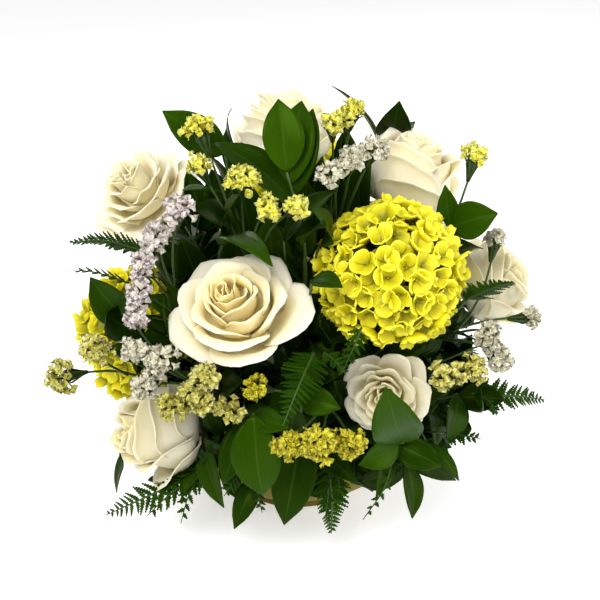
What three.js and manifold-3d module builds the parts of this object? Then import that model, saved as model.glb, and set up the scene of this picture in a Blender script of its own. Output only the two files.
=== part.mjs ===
// Floral table centerpiece: cut flowers and foliage standing in a foam block in a low bowl.
// Millimetres, +Z up. The origin is the centre of the bowl's underside. The front is -Y.
// Every stem points back at one place in the foam, the heart, so stems fan out without crossing.

import * as THREE from 'three';
import { mergeVertices } from 'three/addons/utils/BufferGeometryUtils.js';
import Module from 'manifold-3d';

const wasm = await Module();
wasm.setup();

// ---- driving dimensions ----
const BOWL_HEIGHT = 52;
const BOWL_RIM_RADIUS = 80;
const BOWL_FOOT_RADIUS = 46;
const BOWL_WALL = 4;
const BOWL_FLOOR = 9;
const FOOT_HEIGHT = 4;
const BOWL_FACETS = 18;
const FOAM_RADIUS = 60;
const FOAM_TOP = 92;
const FOAM_FACETS = 10;
const GAP = 0.3;
const BLADE_ROOM = 1.5;
const HEART = new THREE.Vector3(0, 0, 46);
const ROOT_DEPTH = 34;
const ROSE_STEM_RADIUS = 2.8;
const HYDRANGEA_STEM_RADIUS = 3.2;
const LEAFY_STEM_RADIUS = 1.5;
const STATICE_STEM_RADIUS = 1.4;
const TWIG_RADIUS = 1;
const PETAL_THICKNESS = 0.9;
const LEAF_THICKNESS = 0.8;
const BROAD_LEAF = 25;
const STEM_STEPS = 5;
const FERN_THICKNESS = 0.8;
const GOLDEN_ANGLE = Math.PI * (3 - Math.sqrt(5));

// ---- finishes ----
const finish = (color, roughness) => new THREE.MeshStandardMaterial({ color, roughness, metalness: 0 });
const GLAZE = finish(0xb8a83a, 0.35);
const FOAM_GREEN = finish(0x3f5a35, 0.95);
const CREAM = finish(0xf6eedb, 0.6);
const CHARTREUSE = finish(0xe6dc1e, 0.6);
const LEMON = finish(0xe9dc52, 0.8);
const LAVENDER_WHITE = finish(0xe2d6dc, 0.8);
const STEM_GREEN = finish(0x4f7a32, 0.6);
const RUSCUS_GREEN = finish(0x2b5a1c, 0.4);
const FERN_GREEN = finish(0x2f6324, 0.6);

// ---- the blooms: where the middle of each stands, where it faces, and its size ----
// depth is how far the bloom's base lies behind its middle.
const ROSES = {
  front: { middle: [-37, -109, 179], faces: [-14, -50, 74], form: 'open', radius: 41, depth: 18, spin: 20 },
  crown: { middle: [-8, -10, 264], faces: [-4, 6, 100], form: 'cup', radius: 33, depth: 26, spin: 10 },
  upper_left: {
    middle: [-107, -6, 222], faces: [-50, -42, 72], form: 'loose', radius: 36, depth: 20, spin: 75,
  },
  upper_right: { middle: [77, 2, 230], faces: [30, -14, 94], form: 'cup', radius: 35, depth: 26, spin: 40 },
  right: { middle: [132, -31, 166], faces: [85, -15, 50], form: 'cup', radius: 30, depth: 26, spin: 0 },
  lower_left: {
    middle: [-88, -86, 83], faces: [-90, -42, 14], form: 'cup', radius: 31, depth: 26, spin: 130,
  },
  lower_right: {
    middle: [54, -114, 118], faces: [-25, -85, 22], form: 'loose', radius: 28, depth: 15, spin: 15,
  },
  back_left: {
    middle: [-86, 86, 170], faces: [-55, 60, 50], form: 'loose', radius: 36, depth: 18, spin: 50,
  },
  back_right: { middle: [92, 80, 166], faces: [58, 55, 50], form: 'cup', radius: 33, depth: 26, spin: 200 },
  back: { middle: [0, 116, 114], faces: [0, 90, 25], form: 'loose', radius: 35, depth: 18, spin: 300 },
};
const HYDRANGEAS = {
  right: { middle: [58, -80, 190], radius: 44, florets: 30, spin: 0 },
  left: { middle: [-108, -2, 118], radius: 43, florets: 22, spin: 40 },
  back: { middle: [4, 86, 190], radius: 43, florets: 22, spin: 80 },
};

// ---- ruscus: the way out of the foam, then leaves as [place on the stem, tip, width, way turned] ----
const RUSCUS = {
  crown_left: {
    route: [[-22, -18, 150], [-42, -32, 225], [-46, -37, 256]],
    leaves: [[1, [-84, -46, 286], 24, [0, -1, 0.4]], [0.93, [-36, -2, 274], 13],
      [0.78, [-72, -58, 238], 22]],
  },
  crown_front: {
    route: [[4, -52, 150], [5, -86, 216], [-6, -93, 260]],
    leaves: [[1, [-11, -78, 301], 25], [0.96, [3, -66, 297], 25], [0.92, [10, -66, 292], 22],
      [0.88, [-50, -74, 273], 25], [0.74, [18, -106, 230], 18]],
  },
  left_centre: {
    route: [[-36, -38, 130], [-50, -64, 194], [-40, -86, 222]],
    leaves: [[1, [-62, -98, 238], 24], [0.94, [-34, -98, 248], 18], [0.88, [-14, -128, 213], 22]],
  },
  right: {
    route: [[62, -34, 120], [96, -50, 185], [97, -66, 216]],
    leaves: [[1, [124, -80, 230], 24, [0, -1, 0.5]], [0.92, [93, -60, 242], 16, [0, -1, 0.2]],
      [0.84, [116, -78, 206], 20]],
  },
  left: {
    route: [[-56, -44, 88], [-90, -76, 134], [-102, -90, 160]],
    leaves: [[1, [-128, -91, 192], 25], [0.9, [-116, -112, 176], 22], [0.7, [-122, -78, 138], 18]],
  },
  front_left: {
    route: [[-30, -62, 72], [-28, -104, 102], [-26, -136, 120]],
    leaves: [[1, [-21, -144, 68], 31], [0.92, [-4, -150, 118], 16], [0.8, [-46, -134, 70], 20]],
  },
  front: {
    route: [[6, -58, 68], [4, -112, 96], [2, -134, 130]],
    leaves: [[1, [26, -148, 130], 18], [0.74, [-8, -136, 42], 28], [0.6, [38, -136, 72], 18]],
  },
  front_right: {
    route: [[38, -58, 70], [56, -100, 80], [66, -125, 96]],
    leaves: [[1, [52, -156, 148], 31], [0.93, [38, -138, 86], 18], [0.86, [91, -122, 76], 20],
      [0.78, [50, -130, 58], 13], [0.68, [106, -84, 44], 16]],
  },
  right_low: {
    route: [[70, -34, 76], [104, -66, 92], [102, -96, 114]],
    leaves: [[1, [94, -120, 94], 20], [0.9, [134, -92, 108], 20], [0.8, [116, -112, 117], 17]],
  },
  crown_right: {
    route: [[24, 20, 140], [50, 34, 210], [66, 36, 242]],
    leaves: [[1, [68, 6, 280], 25, [0, -1, 0.3]], [0.93, [24, 52, 280], 22], [0.86, [84, 62, 252], 22]],
  },
  back: {
    route: [[-34, 58, 90], [-52, 108, 130], [-50, 122, 152]],
    leaves: [[1, [-66, 132, 184], 22], [0.92, [-86, 124, 130], 22], [0.82, [-38, 146, 98], 24],
      [0.66, [-76, 108, 72], 24]],
  },
};

// ---- fern fronds: the stalk's way to the blade, the blade's tip, and its half width ----
const FERNS = {
  lower_left: { route: [[-36, -66, 64], [-56, -104, 66]], tip: [-127, -95, 24], reach: 17 },
  front: { route: [[-2, -60, 104], [10, -118, 152]], tip: [-8, -166, 128], reach: 17 },
  right: { route: [[72, -34, 64], [112, -74, 102]], tip: [166, -60, 92], reach: 13 },
  upper_right: { route: [[80, -58, 130], [106, -88, 176]], tip: [130, -118, 199], reach: 14 },
  left: { route: [[-64, -26, 130], [-94, -60, 196]], tip: [-143, -72, 208], reach: 14 },
  front_low: { route: [[24, -58, 64], [20, -116, 78]], tip: [22, -130, 32], reach: 15 },
  back_left: { route: [[-58, 42, 64], [-92, 76, 78]], tip: [-138, 108, 54], reach: 17 },
  back_right: { route: [[54, 40, 66], [92, 60, 86]], tip: [146, 72, 56], reach: 18 },
};

// ---- statice: where the spray forks, then its heads as [middle, radius] ----
const YELLOW_STATICE = {
  upper_left: {
    fork: [-34, -58, 198],
    heads: [[[-60, -58, 277], 10], [[-60, -74, 258], 8], [[-32, -96, 256], 10], [[-17, -108, 242], 8],
      [[0, -110, 244], 8]],
  },
  crown: { fork: [22, -26, 206], heads: [[[36, -42, 285], 8], [[22, -56, 280], 8]] },
  top_right: { fork: [100, -34, 206], heads: [[[114, -32, 252], 9]] },
  left: { fork: [-118, -58, 112], heads: [[[-151, -86, 121], 11], [[-127, -98, 146], 11]] },
  lower_left: {
    fork: [-52, -104, 108],
    heads: [[[-50, -138, 156], 9], [[-76, -146, 130], 9], [[-57, -147, 135], 9], [[-39, -136, 122], 8]],
  },
  front: {
    fork: [20, -96, 110],
    heads: [[[-4, -158, 112], 10], [[14, -163, 115], 11], [[33, -155, 111], 10], [[-24, -140, 140], 8]],
  },
  lower_right: { fork: [94, -79, 120], heads: [[[89, -127, 141], 9], [[109, -118, 142], 9]] },
  back: { fork: [34, 94, 116], heads: [[[56, 120, 148], 10], [[34, 136, 154], 10], [[56, 132, 124], 9]] },
};
const WHITE_STATICE = {
  left: {
    fork: [-72, -66, 152],
    heads: [[[-70, -102, 240], 9], [[-84, -108, 225], 9], [[-93, -106, 206], 9], [[-95, -112, 191], 8],
      [[-97, -116, 176], 8]],
  },
  lower_left: {
    fork: [-68, -94, 122],
    heads: [[[-99, -124, 157], 9], [[-80, -132, 156], 9], [[-92, -134, 138], 9]],
  },
  crown: { fork: [26, -44, 206], heads: [[[34, -78, 264], 9], [[20, -93, 258], 8], [[48, -66, 266], 8]] },
  right: {
    fork: [108, -60, 146],
    heads: [[[126, -62, 206], 8], [[150, -70, 156], 8], [[118, -106, 160], 9], [[126, -102, 141], 9]],
  },
  back: { fork: [-40, 90, 144], heads: [[[-40, 116, 192], 9], [[-22, 132, 174], 9], [[-48, 134, 172], 9]] },
};

// ---- solids ----

function asMesh(geometry) {
  // Keeps only positions, welds shared corners and drops triangles that the weld has closed up.
  geometry.deleteAttribute('normal');
  geometry.deleteAttribute('uv');
  const welded = mergeVertices(geometry, 1e-4);
  const index = [];
  for (let i = 0; i < welded.index.count; i += 3) {
    const [a, b, c] = [0, 1, 2].map((k) => welded.index.getX(i + k));
    if (a !== b && b !== c && c !== a) index.push(a, b, c);
  }
  return { positions: welded.attributes.position.array, index };
}

function asSolid({ positions, index }) {
  const mesh = new wasm.Mesh({
    numProp: 3, vertProperties: Float32Array.from(positions), triVerts: Uint32Array.from(index),
  });
  mesh.merge();
  return new wasm.Manifold(mesh);
}

function swollen({ positions, index }, by) {
  // The same closed mesh with every face moved outwards, for the room that a piece needs.
  const count = positions.length / 3;
  const normals = Array.from({ length: count }, () => []);
  const corner = (i) => new THREE.Vector3().fromArray(positions, 3 * i);
  for (let i = 0; i < index.length; i += 3) {
    const [a, b, c] = [index[i], index[i + 1], index[i + 2]];
    const normal = corner(b).sub(corner(a)).cross(corner(c).sub(corner(a))).normalize();
    for (const k of [a, b, c]) normals[k].push(normal);
  }
  const moved = new Float32Array(positions.length);
  for (let i = 0; i < count; i++) {
    const out = normals[i].reduce((sum, n) => sum.add(n), new THREE.Vector3()).normalize();
    const least = Math.min(...normals[i].map((n) => n.dot(out)));
    corner(i).addScaledVector(out, by / Math.max(least, 0.4)).toArray(moved, 3 * i);
  }
  return { positions: moved, index };
}

const fuse = (meshes) => meshes.map(asSolid).reduce((all, solid) => all.add(solid));

function largestBody(solid) {
  return solid.decompose().reduce((best, body) => (body.volume() > best.volume() ? body : best));
}

function plate(points, faces, thickness) {
  // A thin closed sheet round a surface of triangles, split alike on both faces.
  const normals = points.map(() => new THREE.Vector3());
  for (const [a, b, c] of faces) {
    const normal = points[b].clone().sub(points[a]).cross(points[c].clone().sub(points[a]));
    for (const k of [a, b, c]) normals[k].add(normal);
  }
  const positions = [];
  for (const side of [0.5, -0.5]) {
    points.forEach((point, k) => {
      positions.push(...point.clone().addScaledVector(normals[k].clone().normalize(), side * thickness));
    });
  }
  const n = points.length;
  const edges = new Set(faces.flatMap(([a, b, c]) => [`${a} ${b}`, `${b} ${c}`, `${c} ${a}`]));
  const index = faces.flatMap(([a, b, c]) => [a, b, c, c + n, b + n, a + n]);
  for (const edge of edges) {
    const [a, b] = edge.split(' ').map(Number);
    if (!edges.has(`${b} ${a}`)) index.push(b, a, a + n, b, a + n, b + n);
  }
  return { positions, index };
}

const smooth = (points) => new THREE.CatmullRomCurve3(points, false, 'centripetal');

function tube(points, radius, sides, steps) {
  const section = new THREE.Shape();
  for (let k = 0; k < sides; k++) {
    const angle = (2 * Math.PI * k) / sides;
    const [x, y] = [radius * Math.cos(angle), radius * Math.sin(angle)];
    if (k === 0) section.moveTo(x, y);
    else section.lineTo(x, y);
  }
  section.closePath();
  const options = { steps, bevelEnabled: false, extrudePath: smooth(points) };
  return asMesh(new THREE.ExtrudeGeometry(section, options));
}

function turned(profile, facets) {
  const outline = profile.map(([r, z]) => new THREE.Vector2(r, z));
  const geometry = new THREE.LatheGeometry(outline, facets);
  geometry.rotateX(Math.PI / 2);
  return asMesh(geometry);
}

function placed({ positions, index }, matrix) {
  const moved = [];
  for (let i = 0; i < positions.length; i += 3) {
    moved.push(...new THREE.Vector3().fromArray(positions, i).applyMatrix4(matrix));
  }
  return { positions: moved, index };
}

// ---- places and directions ----

const vector = ([x, y, z]) => new THREE.Vector3(x, y, z);
const radians = (degrees) => (degrees * Math.PI) / 180;
const fromHeart = (point) => point.clone().sub(HEART).normalize();
const rootToward = (point) => HEART.clone().addScaledVector(fromHeart(point), ROOT_DEPTH);

function standing(base, direction, spin) {
  // Turns +Z to the direction, after a spin about it, and moves the origin to the base.
  const turn = new THREE.Quaternion().setFromUnitVectors(new THREE.Vector3(0, 0, 1), direction);
  turn.multiply(new THREE.Quaternion().setFromAxisAngle(new THREE.Vector3(0, 0, 1), radians(spin)));
  return new THREE.Matrix4().compose(base, turn, new THREE.Vector3(1, 1, 1));
}

const facing = ({ faces }) => vector(faces).normalize();
const roseBase = (rose) => vector(rose.middle).addScaledVector(facing(rose), -rose.depth);

const bloomRooms = [
  ...Object.values(ROSES).map(({ middle, radius, form }) => (
    { middle: vector(middle), radius: radius * (form === 'cup' ? 1.12 : 1.04) })),
  ...Object.values(HYDRANGEAS).map(({ middle, radius }) => ({ middle: vector(middle), radius: radius + 3 })),
];

function clearOfBlooms(point, spare) {
  // Moves a point straight out of any bloom that it would stand in.
  const moved = point.clone();
  for (let pass = 0; pass < 3; pass++) {
    for (const { middle, radius } of bloomRooms) {
      const away = moved.clone().sub(middle);
      const short = radius + spare - away.length();
      if (short > 0) moved.addScaledVector(away.normalize(), short);
    }
  }
  return moved;
}

function seeded(seed) {
  // A small repeatable draw between 0 and 1.
  let state = seed;
  return () => {
    state = (state * 1103 + 12345) % 65536;
    return state / 65536;
  };
}

// ---- bowl and foam ----

function bowl() {
  const [rim, foot, wall, height] = [BOWL_RIM_RADIUS, BOWL_FOOT_RADIUS, BOWL_WALL, BOWL_HEIGHT];
  const profile = [
    [0, 0], [foot, 0], [foot, FOOT_HEIGHT],
    [rim - 10, 0.42 * height], [rim - 2, 0.74 * height], [rim, height],
    [rim - wall, height], [rim - 2 - wall, 0.74 * height], [rim - 12 - wall, 0.46 * height],
    [foot, BOWL_FLOOR], [0, BOWL_FLOOR],
  ];
  return turned(profile, BOWL_FACETS);
}

function foam() {
  const bottom = BOWL_FLOOR + GAP;
  const profile = [
    [0, bottom], [BOWL_FOOT_RADIUS - 4, bottom], [FOAM_RADIUS - 2, bottom + 18],
    [FOAM_RADIUS, FOAM_TOP - 26], [FOAM_RADIUS - 16, FOAM_TOP - 8], [0, FOAM_TOP],
  ];
  return turned(profile, FOAM_FACETS);
}

// ---- roses ----
// Each layer of petals lies on a surface of revolution about the bloom's axis. Its outline is
// [distance from the axis, height] at the root, belly, shoulder and rim, as shares of the radius.

const ROSE_FORMS = {
  open: {
    bud: [0.2, 0.74],
    layers: [
      { petals: 3, reach: 74, outline: [[0.08, 0.22], [0.33, 0.46], [0.4, 0.72]] },
      { petals: 4, reach: 56, outline: [[0.1, 0.16], [0.54, 0.32], [0.72, 0.56]] },
      { petals: 5, reach: 46, outline: [[0.12, 0.09], [0.74, 0.14], [1, 0.3]] },
    ],
  },
  loose: {
    bud: [0.2, 0.8],
    layers: [
      { petals: 2, reach: 98, outline: [[0.08, 0.22], [0.34, 0.5], [0.42, 0.8]] },
      { petals: 3, reach: 74, outline: [[0.1, 0.16], [0.54, 0.36], [0.72, 0.66]] },
      { petals: 4, reach: 56, outline: [[0.12, 0.09], [0.76, 0.16], [1, 0.36]] },
    ],
  },
  cup: {
    bud: [0.34, 1.4],
    layers: [
      { petals: 3, reach: 74, outline: [[0.1, 0.17], [0.62, 0.6], [0.72, 1.34]] },
      { petals: 4, reach: 56, outline: [[0.12, 0.1], [0.84, 0.44], [1, 1.16]] },
    ],
  },
};
const PETAL_LAP = 0.07;
const PETAL_ROOT_ANGLE = 16;
const WIDE_PETAL = 50;
const NECK_LENGTH = 16;

function rosePetal({ reach, outline }, radius, turn) {
  // Towards its right edge a petal stands out from its layer, so neighbours lap without crossing.
  const points = [];
  const stand = (row, across, angle, lap, droop) => {
    const [out, height] = outline[row];
    const [before, after] = [outline[Math.max(row - 1, 0)], outline[Math.min(row + 1, 2)]];
    const [rise, run] = [after[1] - before[1], after[0] - before[0]];
    const r = radius * (out + (lap * rise) / Math.hypot(rise, run));
    const z = radius * (height - (lap * run) / Math.hypot(rise, run) - droop);
    points.push(new THREE.Vector3(r * Math.cos(turn + angle), r * Math.sin(turn + angle), z));
  };
  const columns = reach < WIDE_PETAL ? [-1, 0, 1] : [-1, -0.36, 0.36, 1];
  for (const across of [-1, 1]) stand(0, across, radians(PETAL_ROOT_ANGLE) * across, 0, 0);
  for (const [row, width, droop] of [[1, 0.9, 0], [2, 0.86, 0.09]]) {
    for (const across of columns) {
      stand(row, across, radians(reach) * width * across, PETAL_LAP * across, droop * across * across);
    }
  }
  const n = columns.length;
  const faces = [[0, 2, 3], [0, 3, 1], [1, n, n + 1]];
  if (n === 4) faces.push([1, 3, 4]);
  for (let k = 2; k < n + 1; k++) faces.push([k, k + n, k + 1], [k + 1, k + n, k + n + 1]);
  return plate(points, faces, PETAL_THICKNESS);
}

function roseBloom({ form, radius, ...rose }) {
  const { bud, layers } = ROSE_FORMS[form];
  const [budRadius, budTop] = bud.map((share) => share * radius);
  const hub = 0.16 * radius;
  const pieces = [
    turned([[0, 0], [hub, 0], [hub, 0.3 * radius], [budRadius, 0.8 * budTop], [0, budTop]], 5),
  ];
  layers.forEach((layer, ring) => {
    for (let k = 0; k < layer.petals; k++) {
      pieces.push(rosePetal(layer, radius, (2 * Math.PI * k) / layer.petals + ring * GOLDEN_ANGLE));
    }
  });
  const place = standing(roseBase(rose), facing(rose), rose.spin);
  return pieces.map((piece) => placed(piece, place));
}

function roseStem({ radius, ...rose }) {
  const base = roseBase(rose);
  const forward = facing(rose);
  const [cupDepth, seat] = [0.22 * radius, -2 * GAP];
  const cup = turned([[0, -cupDepth], [0.19 * radius, -0.08 * radius], [0.15 * radius, seat], [0, seat]], 4);
  const neck = base.clone().addScaledVector(forward, -cupDepth * 0.7);
  const bend = neck.clone().addScaledVector(forward, -NECK_LENGTH);
  const root = rootToward(bend);
  const points = [root, root.clone().lerp(bend, 0.5), bend, neck];
  return [tube(points, ROSE_STEM_RADIUS, 4, 3), placed(cup, standing(base, forward, rose.spin))];
}

// ---- hydrangeas ----

const FLORET_TILT = 2.5;
const FLORET_DEPTH = 20;
const HEAD_COVER = 0.8;
const HEAD_SKIN = 7;
const CORE_UNDERSIDE = 0.851;

function spreadDirections(count, cover) {
  // Even directions over the top share of a ball, from the pole down.
  return Array.from({ length: count }, (_, k) => {
    const z = 1 - (2 * cover * (k + 0.5)) / count;
    const r = Math.sqrt(1 - z * z);
    return new THREE.Vector3(r * Math.cos(k * GOLDEN_ANGLE), r * Math.sin(k * GOLDEN_ANGLE), z);
  });
}

function hydrangeaFloret(reach) {
  // Four cupped petals round a sunk eye, on an inverted pyramid whose point goes into the head.
  const points = [new THREE.Vector3(0, 0, -FLORET_TILT), new THREE.Vector3(0, 0, -FLORET_DEPTH)];
  for (let k = 0; k < 8; k++) {
    const angle = (k * Math.PI) / 4;
    const tip = k % 2 === 0;
    const r = reach * (tip ? 1 : 0.55);
    points.push(new THREE.Vector3(r * Math.cos(angle), r * Math.sin(angle), tip ? 1.5 : -FLORET_TILT - 0.4));
  }
  const index = [];
  for (let k = 0; k < 8; k++) {
    const [here, next] = [2 + k, 2 + ((k + 1) % 8)];
    index.push(0, here, next);
  }
  for (let k = 1; k < 8; k += 2) {
    const [notch, tip, nextNotch] = [2 + k, 2 + ((k + 1) % 8), 2 + ((k + 2) % 8)];
    index.push(notch, nextNotch, tip, notch, 1, nextNotch);
  }
  return { positions: points.flatMap((point) => [...point]), index };
}

function hydrangeaHead({ middle, radius, florets, spin }) {
  const centre = vector(middle);
  const place = standing(centre, fromHeart(centre), spin);
  const core = asMesh(new THREE.IcosahedronGeometry(radius - HEAD_SKIN, 0));
  const spacing = Math.sqrt((4 * Math.PI * HEAD_COVER) / florets) * radius;
  const draw = seeded(florets);
  const pieces = [placed(core, place)];
  for (const direction of spreadDirections(florets, HEAD_COVER)) {
    const seat = direction.clone().multiplyScalar(radius - 1.5);
    const floret = placed(hydrangeaFloret(spacing * 0.5), standing(seat, direction, 90 * draw()));
    pieces.push(placed(floret, place));
  }
  return pieces;
}

function hydrangeaStem({ middle, radius }) {
  const centre = vector(middle);
  const reach = CORE_UNDERSIDE * (radius - HEAD_SKIN) + GAP;
  const top = centre.clone().addScaledVector(fromHeart(centre), -reach);
  const root = rootToward(centre);
  return [tube([root, root.clone().lerp(top, 0.5), top], HYDRANGEA_STEM_RADIUS, 5, 1)];
}

// ---- ruscus ----

function leafBlade(base, tip, width, turned) {
  // A pointed blade that arches away from the heart, or the way it is turned, with its edges lifted.
  const along = tip.clone().sub(base);
  const length = along.length();
  const out = turned ? vector(turned) : fromHeart(base.clone().lerp(tip, 0.5));
  const face = out.addScaledVector(along, -out.dot(along) / along.lengthSq()).normalize();
  const side = along.clone().normalize().cross(face);
  const arch = (t) => 0.4 * length * t * (1 - t);
  const rib = (t) => base.clone().addScaledVector(along, t).addScaledVector(face, arch(t));
  const points = [rib(0)];
  const rows = width < BROAD_LEAF ? [0.32, 0.68] : [0.22, 0.5, 0.78];
  for (const t of rows) {
    const half = 0.5 * width * Math.sin(Math.PI * t ** 0.85) ** 0.8;
    for (const across of [-1, 0, 1]) {
      const lift = Math.abs(across) * half * 0.25;
      points.push(rib(t).addScaledVector(side, across * half).addScaledVector(face, lift));
    }
  }
  points.push(rib(1));
  const faces = [[0, 1, 2], [0, 2, 3]];
  for (let a = 1; a < 3 * rows.length - 2; a += 3) {
    faces.push([a, a + 3, a + 1], [a + 1, a + 3, a + 4], [a + 1, a + 4, a + 2], [a + 2, a + 4, a + 5]);
  }
  const last = 3 * rows.length - 2;
  faces.push([last, last + 3, last + 1], [last + 1, last + 3, last + 2]);
  const kept = points.map((point, k) => (k === 0 ? point : clearOfBlooms(point, BLADE_ROOM)));
  return plate(kept, faces, LEAF_THICKNESS);
}

function stemRoute(route, radius) {
  // From the foam through the route's points, bowed clear of the blooms.
  const start = rootToward(vector(route[0]));
  const path = smooth([start, ...route.map(vector)]);
  const points = path.getSpacedPoints(6).slice(1).map((point) => clearOfBlooms(point, radius + BLADE_ROOM));
  return [start, ...points];
}

function alongStem(points, share) {
  // The place on the straight stretches that a stem's tube is made of.
  const joints = smooth(points).getSpacedPoints(STEM_STEPS);
  const step = Math.min(Math.floor(share * STEM_STEPS), STEM_STEPS - 1);
  return joints[step].clone().lerp(joints[step + 1], share * STEM_STEPS - step);
}

function ruscusStem({ route, leaves }) {
  const points = stemRoute(route, LEAFY_STEM_RADIUS);
  const blades = leaves.map(([share, tip, width, turned]) => (
    leafBlade(alongStem(points, share), vector(tip), width, turned)));
  return [tube(points, LEAFY_STEM_RADIUS, 3, STEM_STEPS), ...blades];
}

// ---- ferns ----

const FROND_PAIRS = 7;

function fernFrond({ route, tip, reach }) {
  // A narrow rib with a row of leaflets each side, longest a third of the way along.
  const stalk = stemRoute(route, LEAFY_STEM_RADIUS);
  const base = stalk.at(-1);
  const arch = fromHeart(base).multiplyScalar(0.14 * base.distanceTo(vector(tip)));
  const middle = base.clone().lerp(vector(tip), 0.5).add(arch);
  const rib = smooth([base, middle, vector(tip)]);
  const points = [];
  const faces = [];
  for (let k = 0; k <= FROND_PAIRS; k++) {
    const t = k / FROND_PAIRS;
    const [here, ahead] = [rib.getPointAt(t), rib.getTangentAt(t)];
    const side = ahead.clone().cross(fromHeart(here)).normalize();
    const half = 1.5 - 0.8 * t;
    const length = reach * Math.min(1, 0.45 + 1.9 * t) * (1 - t) ** 0.7 + 1;
    for (const hand of [-1, 1]) {
      const foot = here.clone().addScaledVector(side, hand * half);
      points.push(foot);
      points.push(foot.clone().addScaledVector(side, hand * length).addScaledVector(ahead, 0.5 * length));
    }
  }
  for (let k = 0; k < FROND_PAIRS; k++) {
    const [left, leftTip, right, rightTip] = [0, 1, 2, 3].map((offset) => 4 * k + offset);
    const [nextLeft, nextRight] = [left + 4, right + 4];
    faces.push([left, nextLeft, right], [right, nextLeft, nextRight]);
    faces.push([left, leftTip, nextLeft], [right, nextRight, rightTip]);
  }
  const used = [...new Set(faces.flat())].sort((a, b) => a - b);
  const kept = used.map((k) => clearOfBlooms(points[k], BLADE_ROOM));
  const blade = plate(kept, faces.map((face) => face.map((k) => used.indexOf(k))), FERN_THICKNESS);
  return [tube(stalk, LEAFY_STEM_RADIUS, 3, STEM_STEPS), blade];
}

// ---- statice ----

const CUP_MOUTH = 1.08;
const CUP_DEPTH = 0.3;
const FULL_HEAD = 11;
const TWIG_SPACING = 0.05;

function staticeHead(middle, radius, direction, spin) {
  // An eight-faced core with flared cups raised on it, none on the face at the twig.
  const core = asMesh(new THREE.OctahedronGeometry(radius * 0.5));
  const corner = (k) => new THREE.Vector3().fromArray(core.positions, 3 * k);
  const down = new THREE.Vector3(-1, -1, -1).normalize();
  const positions = [...core.positions];
  const index = [];
  const add = (point) => positions.push(...point) / 3 - 1;
  for (let i = 0; i < core.index.length; i += 3) {
    const face = core.index.slice(i, i + 3);
    const centre = face.reduce((sum, k) => sum.add(corner(k)), new THREE.Vector3()).divideScalar(3);
    const out = centre.clone().normalize();
    if (out.dot(down) > (radius < FULL_HEAD ? 0 : 0.9)) {
      index.push(...face);
      continue;
    }
    const pit = add(out.clone().multiplyScalar(radius * (1 - CUP_DEPTH)));
    const mouth = face.map((k) => {
      const offset = corner(k).sub(centre).multiplyScalar(CUP_MOUTH);
      return add(out.clone().multiplyScalar(radius).add(offset));
    });
    for (let k = 0; k < 3; k++) {
      const next = (k + 1) % 3;
      index.push(face[k], face[next], mouth[next], face[k], mouth[next], mouth[k]);
      index.push(mouth[k], mouth[next], pit);
    }
  }
  const upright = new THREE.Matrix4().makeRotationFromQuaternion(
    new THREE.Quaternion().setFromUnitVectors(down.clone().negate(), new THREE.Vector3(0, 0, 1)),
  );
  return placed(placed({ positions, index }, upright), standing(middle, direction, spin));
}

function staticeSpray({ fork, heads }) {
  // The stem runs on to the first head, and a twig leaves it near the fork for each other head.
  const lower = stemRoute([fork], TWIG_RADIUS);
  const reachOut = (start, [middle, radius]) => {
    const top = clearOfBlooms(vector(middle), radius * 0.8);
    const bow = start.clone().lerp(top, 0.5).addScaledVector(fromHeart(start), 0.12 * start.distanceTo(top));
    return [clearOfBlooms(bow, TWIG_RADIUS + BLADE_ROOM), top];
  };
  const stem = [...lower, ...reachOut(lower.at(-1), heads[0])];
  const forkShare = smooth(lower).getLength() / smooth(stem).getLength();
  return heads.flatMap((head, k) => {
    const start = alongStem(stem, forkShare * (1 - TWIG_SPACING * k));
    const [bend, top] = k === 0 ? stem.slice(-2) : reachOut(start, head);
    const twig = k === 0 ? tube(stem, STATICE_STEM_RADIUS, 3, STEM_STEPS)
      : tube([start, bend, top], TWIG_RADIUS, 3, 2);
    return [twig, staticeHead(top, head[1], top.clone().sub(bend).normalize(), 50 * k)];
  });
}

// ---- the arrangement: each node gives way to the ones listed before it ----

const nodes = [];
const add = (name, material, pieces) => nodes.push({ name, material, pieces });

add('bowl', GLAZE, [bowl()]);
for (const [name, rose] of Object.entries(ROSES)) {
  add(`rose_stem_${name}`, STEM_GREEN, roseStem(rose));
  add(`rose_bloom_${name}`, CREAM, roseBloom(rose));
}
for (const [name, hydrangea] of Object.entries(HYDRANGEAS)) {
  add(`hydrangea_stem_${name}`, STEM_GREEN, hydrangeaStem(hydrangea));
  add(`hydrangea_head_${name}`, CHARTREUSE, hydrangeaHead(hydrangea));
}
for (const [name, stem] of Object.entries(RUSCUS)) add(`ruscus_${name}`, RUSCUS_GREEN, ruscusStem(stem));
for (const [name, spray] of Object.entries(YELLOW_STATICE)) {
  add(`statice_yellow_${name}`, LEMON, staticeSpray(spray));
}
for (const [name, spray] of Object.entries(WHITE_STATICE)) {
  add(`statice_white_${name}`, LAVENDER_WHITE, staticeSpray(spray));
}
for (const [name, fern] of Object.entries(FERNS)) add(`fern_${name}`, FERN_GREEN, fernFrond(fern));
add('foam', FOAM_GREEN, [foam()]);

function boxesMeet(a, b) {
  const [boxA, boxB] = [a.boundingBox(), b.boundingBox()];
  return [0, 1, 2].every((k) => boxA.min[k] < boxB.max[k] && boxB.min[k] < boxA.max[k]);
}

function toMesh({ name, material }, solid) {
  const { vertProperties, triVerts } = solid.getMesh();
  const geometry = new THREE.BufferGeometry();
  geometry.setAttribute('position', new THREE.BufferAttribute(vertProperties, 3));
  geometry.setIndex(new THREE.BufferAttribute(triVerts, 1));
  const mesh = new THREE.Mesh(geometry, material);
  mesh.name = name;
  return mesh;
}

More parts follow.
